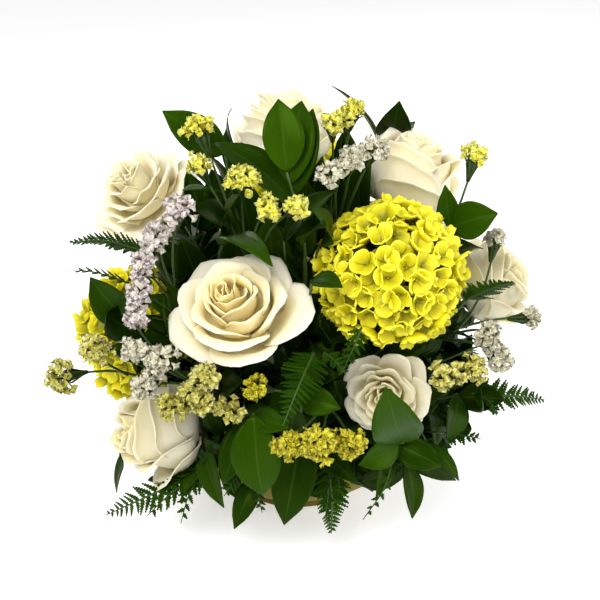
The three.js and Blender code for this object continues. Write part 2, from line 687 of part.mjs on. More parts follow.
const centerpiece = new THREE.Group();
const rooms = [];
for (const node of nodes) {
  let solid = fuse(node.pieces);
  for (const room of rooms) {
    if (boxesMeet(solid, room)) solid = solid.subtract(room);
  }
  centerpiece.add(toMesh(node, largestBody(solid)));
  rooms.push(fuse([...node.pieces, ...node.pieces.map((piece) => swollen(piece, GAP))]));
}

export default centerpiece;
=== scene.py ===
"""Floral table centerpiece: roses, hydrangeas, statice, ruscus and fern in a low glazed bowl.

Lengths in the tables are millimetres from the centre of the bowl's underside, with +Z up and
the front at -Y. They become metres when a mesh is made.
"""

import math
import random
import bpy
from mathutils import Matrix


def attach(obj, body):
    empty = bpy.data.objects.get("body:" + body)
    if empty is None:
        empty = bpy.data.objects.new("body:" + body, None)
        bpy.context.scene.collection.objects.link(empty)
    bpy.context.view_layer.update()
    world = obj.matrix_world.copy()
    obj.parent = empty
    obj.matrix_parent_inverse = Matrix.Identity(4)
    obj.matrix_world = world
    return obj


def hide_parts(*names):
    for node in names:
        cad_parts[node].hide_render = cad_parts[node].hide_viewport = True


bl_info = {
    "name": "Floral table centerpiece",
    "version": (1, 0, 0),
    "blender": (4, 5, 0),
    "location": "3D View > Sidebar > Centerpiece",
    "description": "Builds the flowers, foliage, foam and bowl of a domed table arrangement",
    "category": "Object",
}

import bpy
import numpy as np
from bpy.props import (
    FloatProperty,
    FloatVectorProperty,
    IntProperty,
    PointerProperty,
)

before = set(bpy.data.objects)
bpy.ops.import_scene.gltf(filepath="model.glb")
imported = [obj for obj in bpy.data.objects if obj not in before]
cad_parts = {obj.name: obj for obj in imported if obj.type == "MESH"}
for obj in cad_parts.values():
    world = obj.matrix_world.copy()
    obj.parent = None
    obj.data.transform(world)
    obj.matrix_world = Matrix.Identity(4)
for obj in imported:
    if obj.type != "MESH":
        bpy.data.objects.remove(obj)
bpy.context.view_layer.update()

MM = 0.001
GOLDEN_ANGLE = math.pi * (3 - math.sqrt(5))
UP = np.array([0.0, 0.0, 1.0])

# ---- where everything stands ----
BOWL_HEIGHT, BOWL_RIM_RADIUS, BOWL_FOOT_RADIUS = 52.0, 80.0, 46.0
BOWL_WALL, BOWL_FLOOR, FOOT_HEIGHT, FOOT_HOLLOW = 4.0, 9.0, 4.0, 1.2
FOAM_RADIUS, FOAM_TOP = 60.0, 92.0
# The foam's heart, which every stem points away from, and how far from it the stems start.
HEART = np.array([0.0, 0.0, 46.0])
ROOT_DEPTH = 34.0
ROSE_STEM_RADIUS, HYDRANGEA_STEM_RADIUS = 2.8, 3.2
LEAFY_STEM_RADIUS, STATICE_STEM_RADIUS, TWIG_RADIUS = 1.5, 1.4, 1.0
# How far leaves and stems stay off the blooms.
BLADE_ROOM, LEAFLET_ROOM, FILLER_ROOM = 1.5, 0.6, 3.5
# A leafy stem's straight stretches, and the steps that each one is drawn in.
STEM_STEPS, STRETCH_STEPS = 5, 4
# The straight stretch of stem under a rose.
NECK_LENGTH = 16.0

# Each rose: its middle, where it faces, its form, radius, depth of its base behind the middle, spin.
ROSES = {
    "front": ((-37, -109, 179), (-14, -50, 74), "open", 41, 18, 20),
    "crown": ((-8, -10, 264), (-4, 6, 100), "cup", 33, 26, 10),
    "upper_left": ((-107, -6, 222), (-50, -42, 72), "loose", 36, 20, 75),
    "upper_right": ((77, 2, 230), (27, -4, 94), "cup", 35, 26, 40),
    "right": ((132, -31, 166), (85, -15, 50), "cup", 30, 26, 0),
    "lower_left": ((-88, -86, 83), (-90, -42, 14), "cup", 31, 26, 130),
    "lower_right": ((54, -114, 120), (-25, -85, 22), "loose", 26, 15, 15),
    "back_left": ((-86, 86, 170), (-55, 60, 50), "loose", 36, 18, 50),
    "back_right": ((92, 80, 166), (58, 55, 50), "cup", 33, 26, 200),
    "back": ((0, 116, 114), (0, 90, 25), "loose", 35, 18, 300),
}
# Each hydrangea: its middle, radius, number of florets, spin.
HYDRANGEAS = {
    "right": ((58, -80, 190), 44, 132, 0),
    "left": ((-108, -2, 118), 43, 108, 40),
    "back": ((4, 86, 190), 43, 110, 80),
}
# Each ruscus stem: its way out of the foam, then leaves as (place along the stem, tip, width),
# and for some also the way that the leaf faces and its own room beside the blooms.
RUSCUS = {
    "crown_left": (
        ((-22, -18, 150), (-42, -32, 225), (-46, -37, 256)),
        ((1, (-84, -46, 286), 24, (0, -1, 0.4)), (0.93, (-36, -2, 274), 13), (0.78, (-72, -58, 238), 22)),
    ),
    "crown_front": (
        ((4, -52, 150), (5, -86, 216), (-6, -93, 260)),
        (
            (1, (-11, -78, 301), 25), (0.96, (3, -66, 297), 25), (0.92, (10, -66, 292), 22),
            (0.88, (-50, -74, 273), 25), (0.74, (18, -106, 230), 18),
        ),
    ),
    "left_centre": (
        ((-36, -38, 130), (-50, -64, 194), (-40, -86, 222)),
        ((1, (-62, -98, 238), 24), (0.94, (-34, -98, 248), 18), (0.88, (-14, -128, 213), 22)),
    ),
    "right": (
        ((62, -34, 120), (96, -50, 185), (97, -66, 216)),
        (
            (1, (124, -80, 230), 24, (0, -1, 0.5)), (0.92, (93, -60, 242), 16, (0, -1, 0.2)),
            (0.84, (116, -78, 206), 20),
        ),
    ),
    "left": (
        ((-56, -44, 88), (-90, -76, 134), (-102, -90, 160)),
        ((1, (-128, -91, 192), 25), (0.9, (-116, -112, 176), 22), (0.7, (-122, -78, 138), 18)),
    ),
    "front_left": (
        ((-30, -62, 72), (-28, -104, 102), (-26, -136, 120)),
        ((1, (-21, -144, 68), 31), (0.92, (-4, -150, 118), 16), (0.8, (-46, -134, 70), 20)),
    ),
    "front": (
        ((6, -58, 68), (4, -112, 96), (2, -134, 130)),
        ((1, (26, -148, 130), 18), (0.74, (-8, -136, 42), 28), (0.6, (38, -136, 72), 18)),
    ),
    "front_right": (
        ((38, -58, 70), (56, -100, 80), (66, -125, 96)),
        (
            (1, (52, -156, 148), 31, (-0.1, -1, 0.3), -3), (0.93, (38, -138, 86), 18),
            (0.86, (91, -122, 76), 20), (0.78, (50, -130, 58), 13), (0.68, (106, -84, 44), 16),
        ),
    ),
    "right_low": (
        ((70, -34, 76), (104, -66, 92), (102, -96, 114)),
        ((1, (94, -120, 94), 20), (0.9, (134, -92, 108), 20), (0.8, (116, -112, 117), 17)),
    ),
    "crown_right": (
        ((24, 20, 140), (50, 34, 210), (66, 36, 242)),
        ((1, (68, 6, 280), 25, (0, -1, 0.3), -8), (0.93, (24, 52, 280), 22), (0.86, (84, 62, 252), 22)),
    ),
    "back": (
        ((-34, 58, 90), (-52, 108, 130), (-50, 122, 152)),
        (
            (1, (-66, 132, 184), 22), (0.92, (-86, 124, 130), 22), (0.82, (-38, 146, 98), 24),
            (0.66, (-76, 108, 72), 24),
        ),
    ),
}
# Each fern frond: the stalk's way to the blade, the blade's tip, its half width.
FERNS = {
    "lower_left": (((-36, -66, 64), (-56, -104, 66)), (-127, -95, 24), 17),
    "front": (((-2, -60, 104), (10, -118, 152)), (-8, -166, 128), 17),
    "right": (((72, -34, 64), (112, -74, 102)), (166, -60, 92), 13),
    "upper_right": (((80, -58, 130), (106, -88, 176)), (130, -118, 199), 14),
    "left": (((-64, -26, 130), (-94, -60, 196)), (-143, -72, 208), 14),
    "front_low": (((24, -58, 64), (20, -116, 78)), (22, -130, 32), 15),
    "back_left": (((-58, 42, 64), (-92, 76, 78)), (-138, 108, 54), 17),
    "back_right": (((54, 40, 66), (92, 60, 86)), (146, 72, 56), 18),
}
# Each statice spray: where it forks, then its heads as (middle, radius).
YELLOW_STATICE = {
    "upper_left": (
        (-34, -58, 198),
        (
            ((-60, -58, 277), 10), ((-60, -74, 258), 8), ((-32, -96, 256), 10), ((-17, -108, 242), 8),
            ((0, -110, 244), 8),
        ),
    ),
    "crown": ((22, -26, 206), (((36, -42, 285), 8), ((22, -56, 280), 8))),
    "top_right": ((100, -34, 206), (((114, -32, 252), 9),)),
    "left": ((-118, -58, 112), (((-151, -86, 121), 11), ((-127, -98, 146), 11))),
    "lower_left": (
        (-52, -104, 108),
        (((-50, -138, 156), 9), ((-76, -146, 130), 9), ((-57, -147, 135), 9), ((-39, -136, 122), 8)),
    ),
    "front": (
        (20, -96, 110),
        (((-4, -158, 112), 10), ((14, -163, 115), 11), ((33, -155, 111), 10), ((-24, -140, 140), 8)),
    ),
    "lower_right": ((94, -79, 120), (((89, -127, 141), 9), ((109, -118, 142), 9))),
    "back": ((34, 94, 116), (((56, 120, 148), 10), ((34, 136, 154), 10), ((56, 132, 124), 9))),
}
WHITE_STATICE = {
    "left": (
        (-72, -66, 152),
        (
            ((-70, -102, 240), 9), ((-84, -108, 225), 9), ((-93, -106, 206), 9), ((-95, -112, 191), 8),
            ((-97, -116, 176), 8),
        ),
    ),
    "lower_left": (
        (-68, -94, 122),
        (((-99, -124, 157), 9), ((-80, -132, 156), 9), ((-92, -134, 138), 9)),
    ),
    "crown": ((26, -44, 206), (((34, -78, 264), 9), ((20, -93, 258), 8), ((48, -66, 266), 8))),
    "right": (
        (108, -60, 146),
        (((126, -62, 206), 8), ((150, -70, 156), 8), ((118, -106, 160), 9), ((126, -102, 141), 9)),
    ),
    "back": ((-40, 90, 144), (((-40, 116, 192), 9), ((-22, 132, 174), 9), ((-48, 134, 172), 9))),
}


# ---- meshes ----


class Shape:
    """Collects points and faces, with a place on the blade (uv) and a tone for each point."""

    def __init__(self):
        self.points, self.uv, self.tone = [], [], []
        self.quads, self.quad_finish = [], []
        self.tris, self.tri_finish = [], []
        self.count = 0

    def add(self, part, tone=None, finish=0):
        points, uv, own_tone, quads, tris = part
        self.points.append(points)
        self.uv.append(uv)
        self.tone.append(own_tone if tone is None else np.full(len(points), tone))
        self.quads.append(quads + self.count)
        self.quad_finish.append(np.full(len(quads), finish))
        self.tris.append(tris + self.count)
        self.tri_finish.append(np.full(len(tris), finish))
        self.count += len(points)

    def build(self, name, finishes, nodes=()):
        """Makes the mesh object, gives it its finishes and rides it on the frame."""
        if not self.count:
            raise RuntimeError(f"{name} has no faces")
        points = np.concatenate(self.points) * MM
        quads = np.concatenate(self.quads).astype(np.int32)
        tris = np.concatenate(self.tris).astype(np.int32)
        corners = np.concatenate([quads.ravel(), tris.ravel()])
        starts = np.concatenate(
            [4 * np.arange(len(quads)), 4 * len(quads) + 3 * np.arange(len(tris))]
        ).astype(np.int32)
        mesh = bpy.data.meshes.new(name)
        mesh.vertices.add(len(points))
        mesh.vertices.foreach_set("co", points.ravel())
        mesh.loops.add(len(corners))
        mesh.loops.foreach_set("vertex_index", corners)
        mesh.polygons.add(len(starts))
        mesh.polygons.foreach_set("loop_start", starts)
        finish = np.concatenate(self.quad_finish + self.tri_finish).astype(np.int32)
        mesh.polygons.foreach_set("material_index", finish)
        mesh.update(calc_edges=True)
        layer = mesh.uv_layers.new(name="UVMap")
        layer.data.foreach_set("uv", np.concatenate(self.uv)[corners].ravel())
        tones = mesh.attributes.new("tone", "FLOAT", "POINT")
        tones.data.foreach_set("value", np.concatenate(self.tone))
        mesh.shade_smooth()
        for material in finishes:
            mesh.materials.append(material)
        piece = bpy.data.objects.new(name, mesh)
        bpy.context.scene.collection.objects.link(piece)
        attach(piece, "root")
        if nodes:
            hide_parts(*nodes)
        return piece


NO_TRIS = np.zeros((0, 3), int)


def grid_quads(rows, cols, first=0):
    """Faces of a grid of points, row by row."""
    r, c = np.meshgrid(np.arange(rows - 1), np.arange(cols - 1), indexing="ij")
    a = (first + r * cols + c).ravel()
    return np.stack([a, a + 1, a + cols + 1, a + cols], axis=1)


def unit(v):
    return v / np.maximum(np.linalg.norm(v, axis=-1, keepdims=True), 1e-9)


def sheet(grid, thickness, tone=None):
    """A thin closed sheet round a grid of points: uv.x runs across it and uv.y along it."""
    rows, cols = grid.shape[:2]
    down, across = np.gradient(grid, axis=0), np.gradient(grid, axis=1)
    normal = unit(np.cross(across, down))
    front = (grid + normal * (thickness / 2)).reshape(-1, 3)
    back = (grid - normal * (thickness / 2)).reshape(-1, 3)
    faces = grid_quads(rows, cols)
    n = rows * cols
    index = np.arange(n).reshape(rows, cols)
    edge = np.concatenate([index[0, :-1], index[:-1, -1], index[-1, :0:-1], index[:0:-1, 0]])
    ahead = np.roll(edge, -1)
    rim = np.stack([edge, edge + n, ahead + n, ahead], axis=1)
    quads = np.concatenate([faces, faces[:, ::-1] + n, rim])
    u, v = np.meshgrid(np.linspace(0, 1, cols), np.linspace(0, 1, rows))
    uv = np.stack([u.ravel(), v.ravel()], axis=1)
    flat = np.zeros(n) if tone is None else np.broadcast_to(tone, (rows, cols)).ravel()
    return np.concatenate([front, back]), np.tile(uv, (2, 1)), np.tile(flat, 2), quads, NO_TRIS


def lathe(profile, facets, tone=0.0):
    """A closed solid of revolution about Z; the profile starts and ends on the axis."""
    profile = np.asarray(profile, float)
    ring = profile[1:-1]
    angle = 2 * math.pi * np.arange(facets) / facets
    turn = np.stack([np.cos(angle), np.sin(angle)], axis=1)
    rows = len(ring)
    points = np.concatenate(
        [ring[:, None, :1] * turn[None], np.broadcast_to(ring[:, None, 1:], (rows, facets, 1))], axis=2
    ).reshape(-1, 3)
    ends = np.array([[0, 0, profile[0, 1]], [0, 0, profile[-1, 1]]])
    k = np.arange(facets)
    following = (k + 1) % facets
    quads = np.concatenate(
        [np.stack([facets * r + k, facets * r + following, facets * (r + 1) + following,
                   facets * (r + 1) + k], axis=1) for r in range(rows - 1)]
        or [np.zeros((0, 4), int)]
    )
    low, high = rows * facets, rows * facets + 1
    last = facets * (rows - 1)
    tris = np.concatenate([
        np.stack([np.full(facets, low), following, k], axis=1),
        np.stack([np.full(facets, high), last + k, last + following], axis=1),
    ])
    along = np.repeat(np.linspace(0, 1, rows), facets)
    uv = np.stack([np.tile(k / facets, rows), along], axis=1)
    uv = np.concatenate([uv, [[0.5, 0], [0.5, 1]]])
    points = np.concatenate([points, ends])
    return points, uv, np.full(len(points), tone), quads, tris


def tube(path, radius, sides, tone=0.0):
    """A closed round stem along a path; the radius may change along it."""
    path = np.asarray(path, float)
    radius = np.broadcast_to(radius, len(path))
    ahead = unit(np.gradient(path, axis=0))
    side = unit(np.cross(ahead[0], [0.37, 0.81, 0.45]))
    rings = []
    for point, forward, r in zip(path, ahead, radius):
        side = unit(side - forward * np.dot(side, forward))
        other = np.cross(forward, side)
        angle = 2 * math.pi * np.arange(sides) / sides
        rings.append(point + r * (np.cos(angle)[:, None] * side + np.sin(angle)[:, None] * other))
    points = np.concatenate(rings + [path[:1], path[-1:]])
    k = np.arange(sides)
    following = (k + 1) % sides
    rows = len(path)
    quads = np.concatenate(
        [np.stack([sides * r + k, sides * r + following, sides * (r + 1) + following,
                   sides * (r + 1) + k], axis=1) for r in range(rows - 1)]
    )
    low, high, last = rows * sides, rows * sides + 1, sides * (rows - 1)
    tris = np.concatenate([
        np.stack([np.full(sides, low), following, k], axis=1),
        np.stack([np.full(sides, high), last + k, last + following], axis=1),
    ])
    uv = np.stack([np.tile(k / sides, rows), np.repeat(np.linspace(0, 1, rows), sides)], axis=1)
    uv = np.concatenate([uv, [[0.5, 0], [0.5, 1]]])
    return points, uv, np.full(len(points), tone), quads, tris


def moved(part, turn, place):
    """The same part turned by a 3x3 matrix and moved."""
    return (part[0] @ np.asarray(turn).T + place, *part[1:])


def turned_round(axis, angle):
    """Rotation matrix about an axis, by an angle in radians."""
    x, y, z = unit(np.asarray(axis, float))
    c, s = math.cos(angle), math.sin(angle)
    return np.array([
        [c + x * x * (1 - c), x * y * (1 - c) - z * s, x * z * (1 - c) + y * s],
        [y * x * (1 - c) + z * s, c + y * y * (1 - c), y * z * (1 - c) - x * s],
        [z * x * (1 - c) - y * s, z * y * (1 - c) + x * s, c + z * z * (1 - c)],
    ])


def standing(direction, spin=0.0):
    """Turns +Z to the direction, after a spin about it in degrees."""
    direction = unit(np.asarray(direction, float))
    axis = np.cross(UP, direction)
    lean = math.acos(max(-1.0, min(1.0, direction[2])))
    turn = turned_round(axis, lean) if np.linalg.norm(axis) > 1e-6 else np.eye(3)
    return turn @ turned_round(UP, math.radians(spin))


CURVE_STEPS = 40


def smooth_path(points, count):
    """Evenly spaced points on a centripetal curve through the given ones."""
    points = np.asarray(points, float)
    ends = [2 * points[0] - points[1], *points, 2 * points[-1] - points[-2]]
    dense = []
    for p0, p1, p2, p3 in zip(ends, ends[1:], ends[2:], ends[3:]):
        d0, d1, d2 = (max(np.linalg.norm(b - a), 1e-8) ** 0.5 for a, b in ((p0, p1), (p1, p2), (p2, p3)))
        t1 = d1 * ((p1 - p0) / d0 - (p2 - p0) / (d0 + d1) + (p2 - p1) / d1)
        t2 = d1 * ((p2 - p1) / d1 - (p3 - p1) / (d1 + d2) + (p3 - p2) / d2)
        t = np.linspace(0, 1, CURVE_STEPS, endpoint=False)[:, None]
        dense.append(
            p1 + t1 * t + (3 * (p2 - p1) - 2 * t1 - t2) * t**2 + (2 * (p1 - p2) + t1 + t2) * t**3
        )
    dense = np.concatenate([*dense, points[-1:]])
    along = np.concatenate([[0], np.cumsum(np.linalg.norm(np.diff(dense, axis=0), axis=1))])
    wanted = np.linspace(0, along[-1], count + 1)
    return np.stack([np.interp(wanted, along, dense[:, k]) for k in range(3)], axis=1)


def path_length(path):
    return np.linalg.norm(np.diff(path, axis=0), axis=1).sum()


def astray(draw):
    """A random push, up to 1 either way along each axis."""
    return np.array([draw.uniform(-1, 1) for _ in range(3)])


# ---- places shared by the plants ----


def from_heart(point):
    """The direction in which a point lies from the foam's heart."""
    return unit(np.asarray(point, float) - HEART)


def root_toward(point):
    """Where the stem of whatever stands at a point starts, inside the foam."""
    return HEART + from_heart(point) * ROOT_DEPTH


# The balls that roses and hydrangeas fill: (middle, radius).
BLOOM_ROOMS = [
    (np.array(middle, float), radius * (1.12 if form == "cup" else 1.04))
    for middle, _, form, radius, _, _ in ROSES.values()
] + [(np.array(middle, float), radius + 3.0) for middle, radius, _, _ in HYDRANGEAS.values()]


def clear_of_blooms(point, spare):
    """Moves a point straight out of any bloom that it would stand in."""
    point = np.array(point, float)
    for _ in range(3):
        for middle, radius in BLOOM_ROOMS:
            away = point - middle
            short = radius + spare - np.linalg.norm(away)
            if short > 0:
                point = point + unit(away) * short
    return point


def stem_route(route, radius):
    """From the foam through the route's points, bowed clear of the blooms."""
    start = root_toward(route[0])
    path = smooth_path([start, *route], 6)[1:]
    return np.array([start, *(clear_of_blooms(p, radius + BLADE_ROOM) for p in path)])


def along_stem(points, share):
    """The place on the straight stretches that the solid stem is made of."""
    joints = smooth_path(points, STEM_STEPS)
    step = min(int(share * STEM_STEPS), STEM_STEPS - 1)
    local = share * STEM_STEPS - step
    return joints[step] * (1 - local) + joints[step + 1] * local


# ---- roses ----
# A layer holds petals whose outline is (distance from the axis, height) at the root, belly and
# rim, as shares of the bloom's radius. reach is a petal's half width and roll how far its lip
# turns over, in degrees; lip is the length of the lip as a share of the radius.

ROSE_LAYERS = {
    "open": (
        dict(petals=2, outline=((0.02, 0.25), (0.09, 0.52), (0.05, 0.78)), reach=170, roll=10, lip=0.04),
        dict(petals=3, outline=((0.04, 0.24), (0.14, 0.52), (0.12, 0.78)), reach=120, roll=45, lip=0.08),
        dict(petals=3, outline=((0.05, 0.23), (0.22, 0.50), (0.21, 0.76)), reach=110, roll=65, lip=0.12),
        dict(petals=3, outline=((0.07, 0.21), (0.33, 0.44), (0.32, 0.69)), reach=100, roll=85, lip=0.17),
        dict(petals=4, outline=((0.09, 0.17), (0.45, 0.36), (0.46, 0.58)), reach=82, roll=100, lip=0.24),
        dict(petals=4, outline=((0.11, 0.13), (0.56, 0.24), (0.60, 0.43)), reach=74, roll=100, lip=0.32),
        dict(petals=5, outline=((0.12, 0.09), (0.62, 0.10), (0.74, 0.24)), reach=60, roll=80, lip=0.36),
    ),
    "loose": (
        dict(petals=3, outline=((0.02, 0.26), (0.12, 0.55), (0.10, 0.84)), reach=110, roll=30, lip=0.08),
        dict(petals=3, outline=((0.05, 0.25), (0.20, 0.54), (0.20, 0.84)), reach=100, roll=50, lip=0.12),
        dict(petals=4, outline=((0.07, 0.22), (0.29, 0.52), (0.31, 0.79)), reach=85, roll=65, lip=0.17),
        dict(petals=4, outline=((0.08, 0.19), (0.40, 0.44), (0.45, 0.68)), reach=74, roll=80, lip=0.22),
        dict(petals=5, outline=((0.10, 0.15), (0.52, 0.32), (0.60, 0.52)), reach=62, roll=85, lip=0.26),
        dict(petals=5, outline=((0.12, 0.10), (0.62, 0.16), (0.74, 0.32)), reach=56, roll=75, lip=0.30),
        dict(petals=4, outline=((0.12, 0.09), (0.66, 0.06), (0.80, 0.14)), reach=54, roll=55, lip=0.28),
    ),
    "cup": (
        dict(petals=3, outline=((0.03, 0.30), (0.13, 0.84), (0.07, 1.38)), reach=130, roll=20, lip=0.06),
        dict(petals=3, outline=((0.05, 0.26), (0.24, 0.80), (0.17, 1.40)), reach=115, roll=40, lip=0.10),
        dict(petals=3, outline=((0.08, 0.21), (0.40, 0.72), (0.29, 1.37)), reach=104, roll=60, lip=0.15),
        dict(petals=3, outline=((0.10, 0.17), (0.60, 0.62), (0.43, 1.32)), reach=98, roll=90, lip=0.20),
        dict(petals=3, outline=((0.11, 0.13), (0.76, 0.52), (0.60, 1.20)), reach=94, roll=110, lip=0.26),
        dict(petals=3, outline=((0.12, 0.10), (0.82, 0.42), (0.76, 0.98)), reach=88, roll=115, lip=0.30),
        dict(petals=3, outline=((0.12, 0.09), (0.80, 0.30), (0.92, 0.66)), reach=66, roll=70, lip=0.30),
    ),
}
# How much more the rims of a form wave than its setting says.
ROSE_RUFFLE = {"open": 1.5, "loose": 2.8, "cup": 1.8}
# How much paler than the front rose the hearts of the other roses are.
PALE_HEART = {"front": 0.0, "upper_left": 0.55, "upper_right": 0.35, "crown": 0.35}
USUAL_PALE_HEART = 0.22
# How much longer than wide a rose is drawn out, where it isn't even.
ROSE_STRETCH = {"lower_left": 1.18}
# The low roses take a darker copy of the cream finish, by this share: painted shade, as they stand low under
# the light.
SHADED_LOW_ROSES = ("lower_left", "lower_right", "right")
LOW_ROSE_PAINTED_SHADE = 0.76
# How far the innermost layer stands off the bloom's axis, and over how many layers that fades.
HEART_DRIFT = {"front": (-8, -2, 4), "upper_left": (-4, 2, 2), "lower_right": (3, 0, 3)}
DRIFT_LAYERS = 4
# Shares that shape every petal: how far one flank stands over its neighbour, how far the flanks
# drop, how long and wide the point of the rim is, how wide the foot is and where the petal is
# widest.
PETAL_LAP, FLANK_DROP, POINT_LENGTH, POINT_WIDTH = 0.05, 0.40, 0.14, 0.16
FOOT_WIDTH, WIDEST_AT = 0.36, 0.62
BODY_STEPS = 40
# Rows and columns of a petal's mesh.
PETAL_GRID, BACK_PETAL_GRID = (13, 15), (11, 10)
# The green cup under a bloom, as (distance from the axis, height), and the depth of its foot.
SEPAL_CUP_DEPTH = 0.22
SEPAL_CUP = ((0.09, -0.9 * SEPAL_CUP_DEPTH), (0.17, -0.14), (0.19, -0.08), (0.15, -0.02), (0, -0.02))
SEPALS = 5


def rose_petal(layer, radius, turn, draw, ruffle, thickness, grid_size):
    """One petal about +Z: it rises over its belly, and its lip rolls outwards at the rim."""
    rows, cols = grid_size
    (r0, z0), (r1, z1), (r2, z2) = layer["outline"]
    opening = draw.uniform(-0.04, 0.05)
    tall = draw.uniform(-0.03, 0.03)
    r2, z2 = r2 + opening, z2 + tall
    body = smooth_path([(r0, z0, 0), (r1, z1, 0), (r2, z2, 0)], BODY_STEPS)[:, :2] * radius
    steps = np.linalg.norm(np.diff(body, axis=0), axis=1)
    leaving = body[-1] - body[-4]
    heading = math.atan2(leaving[1], leaving[0])
    reach = math.radians(layer["reach"]) * draw.uniform(0.92, 1.06)
    lip = layer["lip"] * radius * draw.uniform(0.85, 1.15)
    roll = math.radians(layer["roll"]) * draw.uniform(0.75, 1.2)
    lean = draw.uniform(-0.35, 0.35)
    phases = [draw.uniform(0, 2 * math.pi) for _ in range(3)]
    grid = np.zeros((rows, cols, 3))
    tone = np.zeros((rows, cols))
    body_length = steps.sum()
    for c in range(cols):
        across = 2 * c / (cols - 1) - 1
        side = abs(across)
        # The lip turns over further at the flanks, which leaves the middle of the rim pointed.
        own_roll = roll * (0.7 + 0.55 * side**1.5 + lean * across * 0.5)
        own_body = body_length * (1 - FLANK_DROP * side**3.4)
        length = own_body + lip * (1 - side**2.6 + POINT_LENGTH * math.exp(-(side / POINT_WIDTH) ** 2))
        for r in range(rows):
            v = (r / (rows - 1)) ** 0.8 * length
            inside = min(v, own_body)
            at = inside / body_length * BODY_STEPS
            k = min(int(at), BODY_STEPS - 1)
            point = body[k] * (1 - (at - k)) + body[k + 1] * (at - k)
            over = v - inside
            if over > 0:
                share = over / max(lip, 1e-6)
                # The lip follows an arc that turns from the petal's heading outwards and down.
                bend = own_roll * share
                mean = heading - bend / 2
                chord = over * (math.sin(bend / 2) / (bend / 2) if bend > 1e-4 else 1)
                point = point + chord * np.array([math.cos(mean), math.sin(mean)])
            height = v / length
            fullness = math.sin(min(1, height / WIDEST_AT) * math.pi / 2) ** 0.9
            width = reach * (FOOT_WIDTH + (1 - FOOT_WIDTH) * fullness)
            width *= 1 - 0.10 * max(0, height - 0.7) / 0.3
            angle = turn + width * across
            waves = math.sin(2.2 * across + phases[0]) + 0.7 * math.sin(4.7 * across + phases[1])
            waves += 0.45 * math.sin(9.5 * across + phases[2] + 2 * height)
            out = point[0] + radius * (PETAL_LAP * across + ruffle * waves * height**2.2)
            out = max(out, 0.012 * radius)
            rise = point[1] + radius * ruffle * 0.8 * math.sin(3.1 * across + phases[1]) * height**3
            rise += radius * ruffle * 0.5 * math.sin(11 * across + phases[0]) * height**6
            grid[r, c] = (out * math.cos(angle), out * math.sin(angle), rise)
            tone[r, c] = min(1.0, 0.95 * out / radius + 0.25 * height**3)
    return sheet(grid, thickness, tone)


def rose_base(rose):
    """The point that all petals of a rose grow from."""
    middle, faces, _, _, depth, _ = rose
    return np.array(middle, float) - unit(np.array(faces, float)) * depth


def make_rose(name, rose, settings, finishes):
    """The bloom's petals in one piece, and its stem, cup and sepals in another."""
    _, faces, form, radius, _, spin = rose
    draw = random.Random(f"rose {name}")
    turn, base = standing(faces, spin), rose_base(rose)
    bloom = Shape()
    thickness = settings.petal_thickness / MM
    grid_size = BACK_PETAL_GRID if name.startswith("back") else PETAL_GRID
    ruffle = settings.ruffle * ROSE_RUFFLE[form]
    drift = np.array(HEART_DRIFT.get(name, (0, 0, 0)), float)
    for ring, layer in enumerate(ROSE_LAYERS[form]):
        offset = base + drift * max(0, 1 - ring / DRIFT_LAYERS)
        for k in range(layer["petals"]):
            around = 2 * math.pi * (k + draw.uniform(-0.1, 0.1)) / layer["petals"]
            petal = rose_petal(
                layer, radius, around + ring * GOLDEN_ANGLE, draw, ruffle, thickness, grid_size
            )
            pale = PALE_HEART.get(name, USUAL_PALE_HEART) * (1 - petal[2])
            stretched = petal[0] * [1, 1, ROSE_STRETCH.get(name, 1)]
            petal = (stretched, petal[1], petal[2] + pale, petal[3], petal[4])
            bloom.add(moved(petal, turn, offset))
    # The low roses take the darker copy of the cream finish: painted shade.
    petals = finishes["low_petal" if name in SHADED_LOW_ROSES else "petal"]
    bloom.build(f"rose_{name}_petals", [petals], [f"rose_bloom_{name}"])

    green = Shape()
    forward = unit(np.array(faces, float))
    depth = SEPAL_CUP_DEPTH * radius
    neck = base - forward * depth * 0.7
    bend = neck - forward * NECK_LENGTH
    root = root_toward(bend)
    path = smooth_path([root, (root + bend) / 2, bend, neck], 14)
    green.add(tube(path, np.linspace(ROSE_STEM_RADIUS, ROSE_STEM_RADIUS * 0.85, len(path)), 10), 0.4)
    cup = [(0, -depth)] + [(r * radius, z * radius) for r, z in SEPAL_CUP]
    green.add(moved(lathe(cup, 14), turn, base), 0.5)
    for k in range(SEPALS):
        around = 2 * math.pi * (k + draw.uniform(-0.12, 0.12)) / SEPALS
        green.add(moved(rose_sepal(radius, around, draw), turn, base), draw.uniform(0.3, 0.7))
    green.build(f"rose_{name}_stem", [finishes["stem"]], [f"rose_stem_{name}"])


def rose_sepal(radius, around, draw):
    """A narrow green flap that hugs the outside of the bloom and turns back at its tip."""
    path = smooth_path(
        [(0.13, -0.06, 0), (0.34, 0.02, 0), (0.6, draw.uniform(-0.06, 0.0), 0),
         (0.8, draw.uniform(-0.26, -0.12), 0)], 8)[:, :2] * radius
    grid = np.zeros((9, 5, 3))
    for r, (out, rise) in enumerate(path):
        half = radius * 0.11 * math.sin(math.pi * (0.16 + 0.83 * r / 8)) ** 0.8 + 0.2
        for c in range(5):
            across = (c - 2) / 2
            x, y = out, half * across
            z = rise + 0.25 * half * across * across
            grid[r, c] = (
                x * math.cos(around) - y * math.sin(around),
                x * math.sin(around) + y * math.cos(around),
                z,
            )
    return sheet(grid, 0.5)


# ---- hydrangeas ----


def spread_directions(count, cover):
    """Even directions over the top share of a ball, from the pole down."""
    k = np.arange(count)
    z = 1 - 2 * cover * (k + 0.5) / count
    r = np.sqrt(1 - z * z)
    return np.stack([r * np.cos(k * GOLDEN_ANGLE), r * np.sin(k * GOLDEN_ANGLE), z], axis=1)


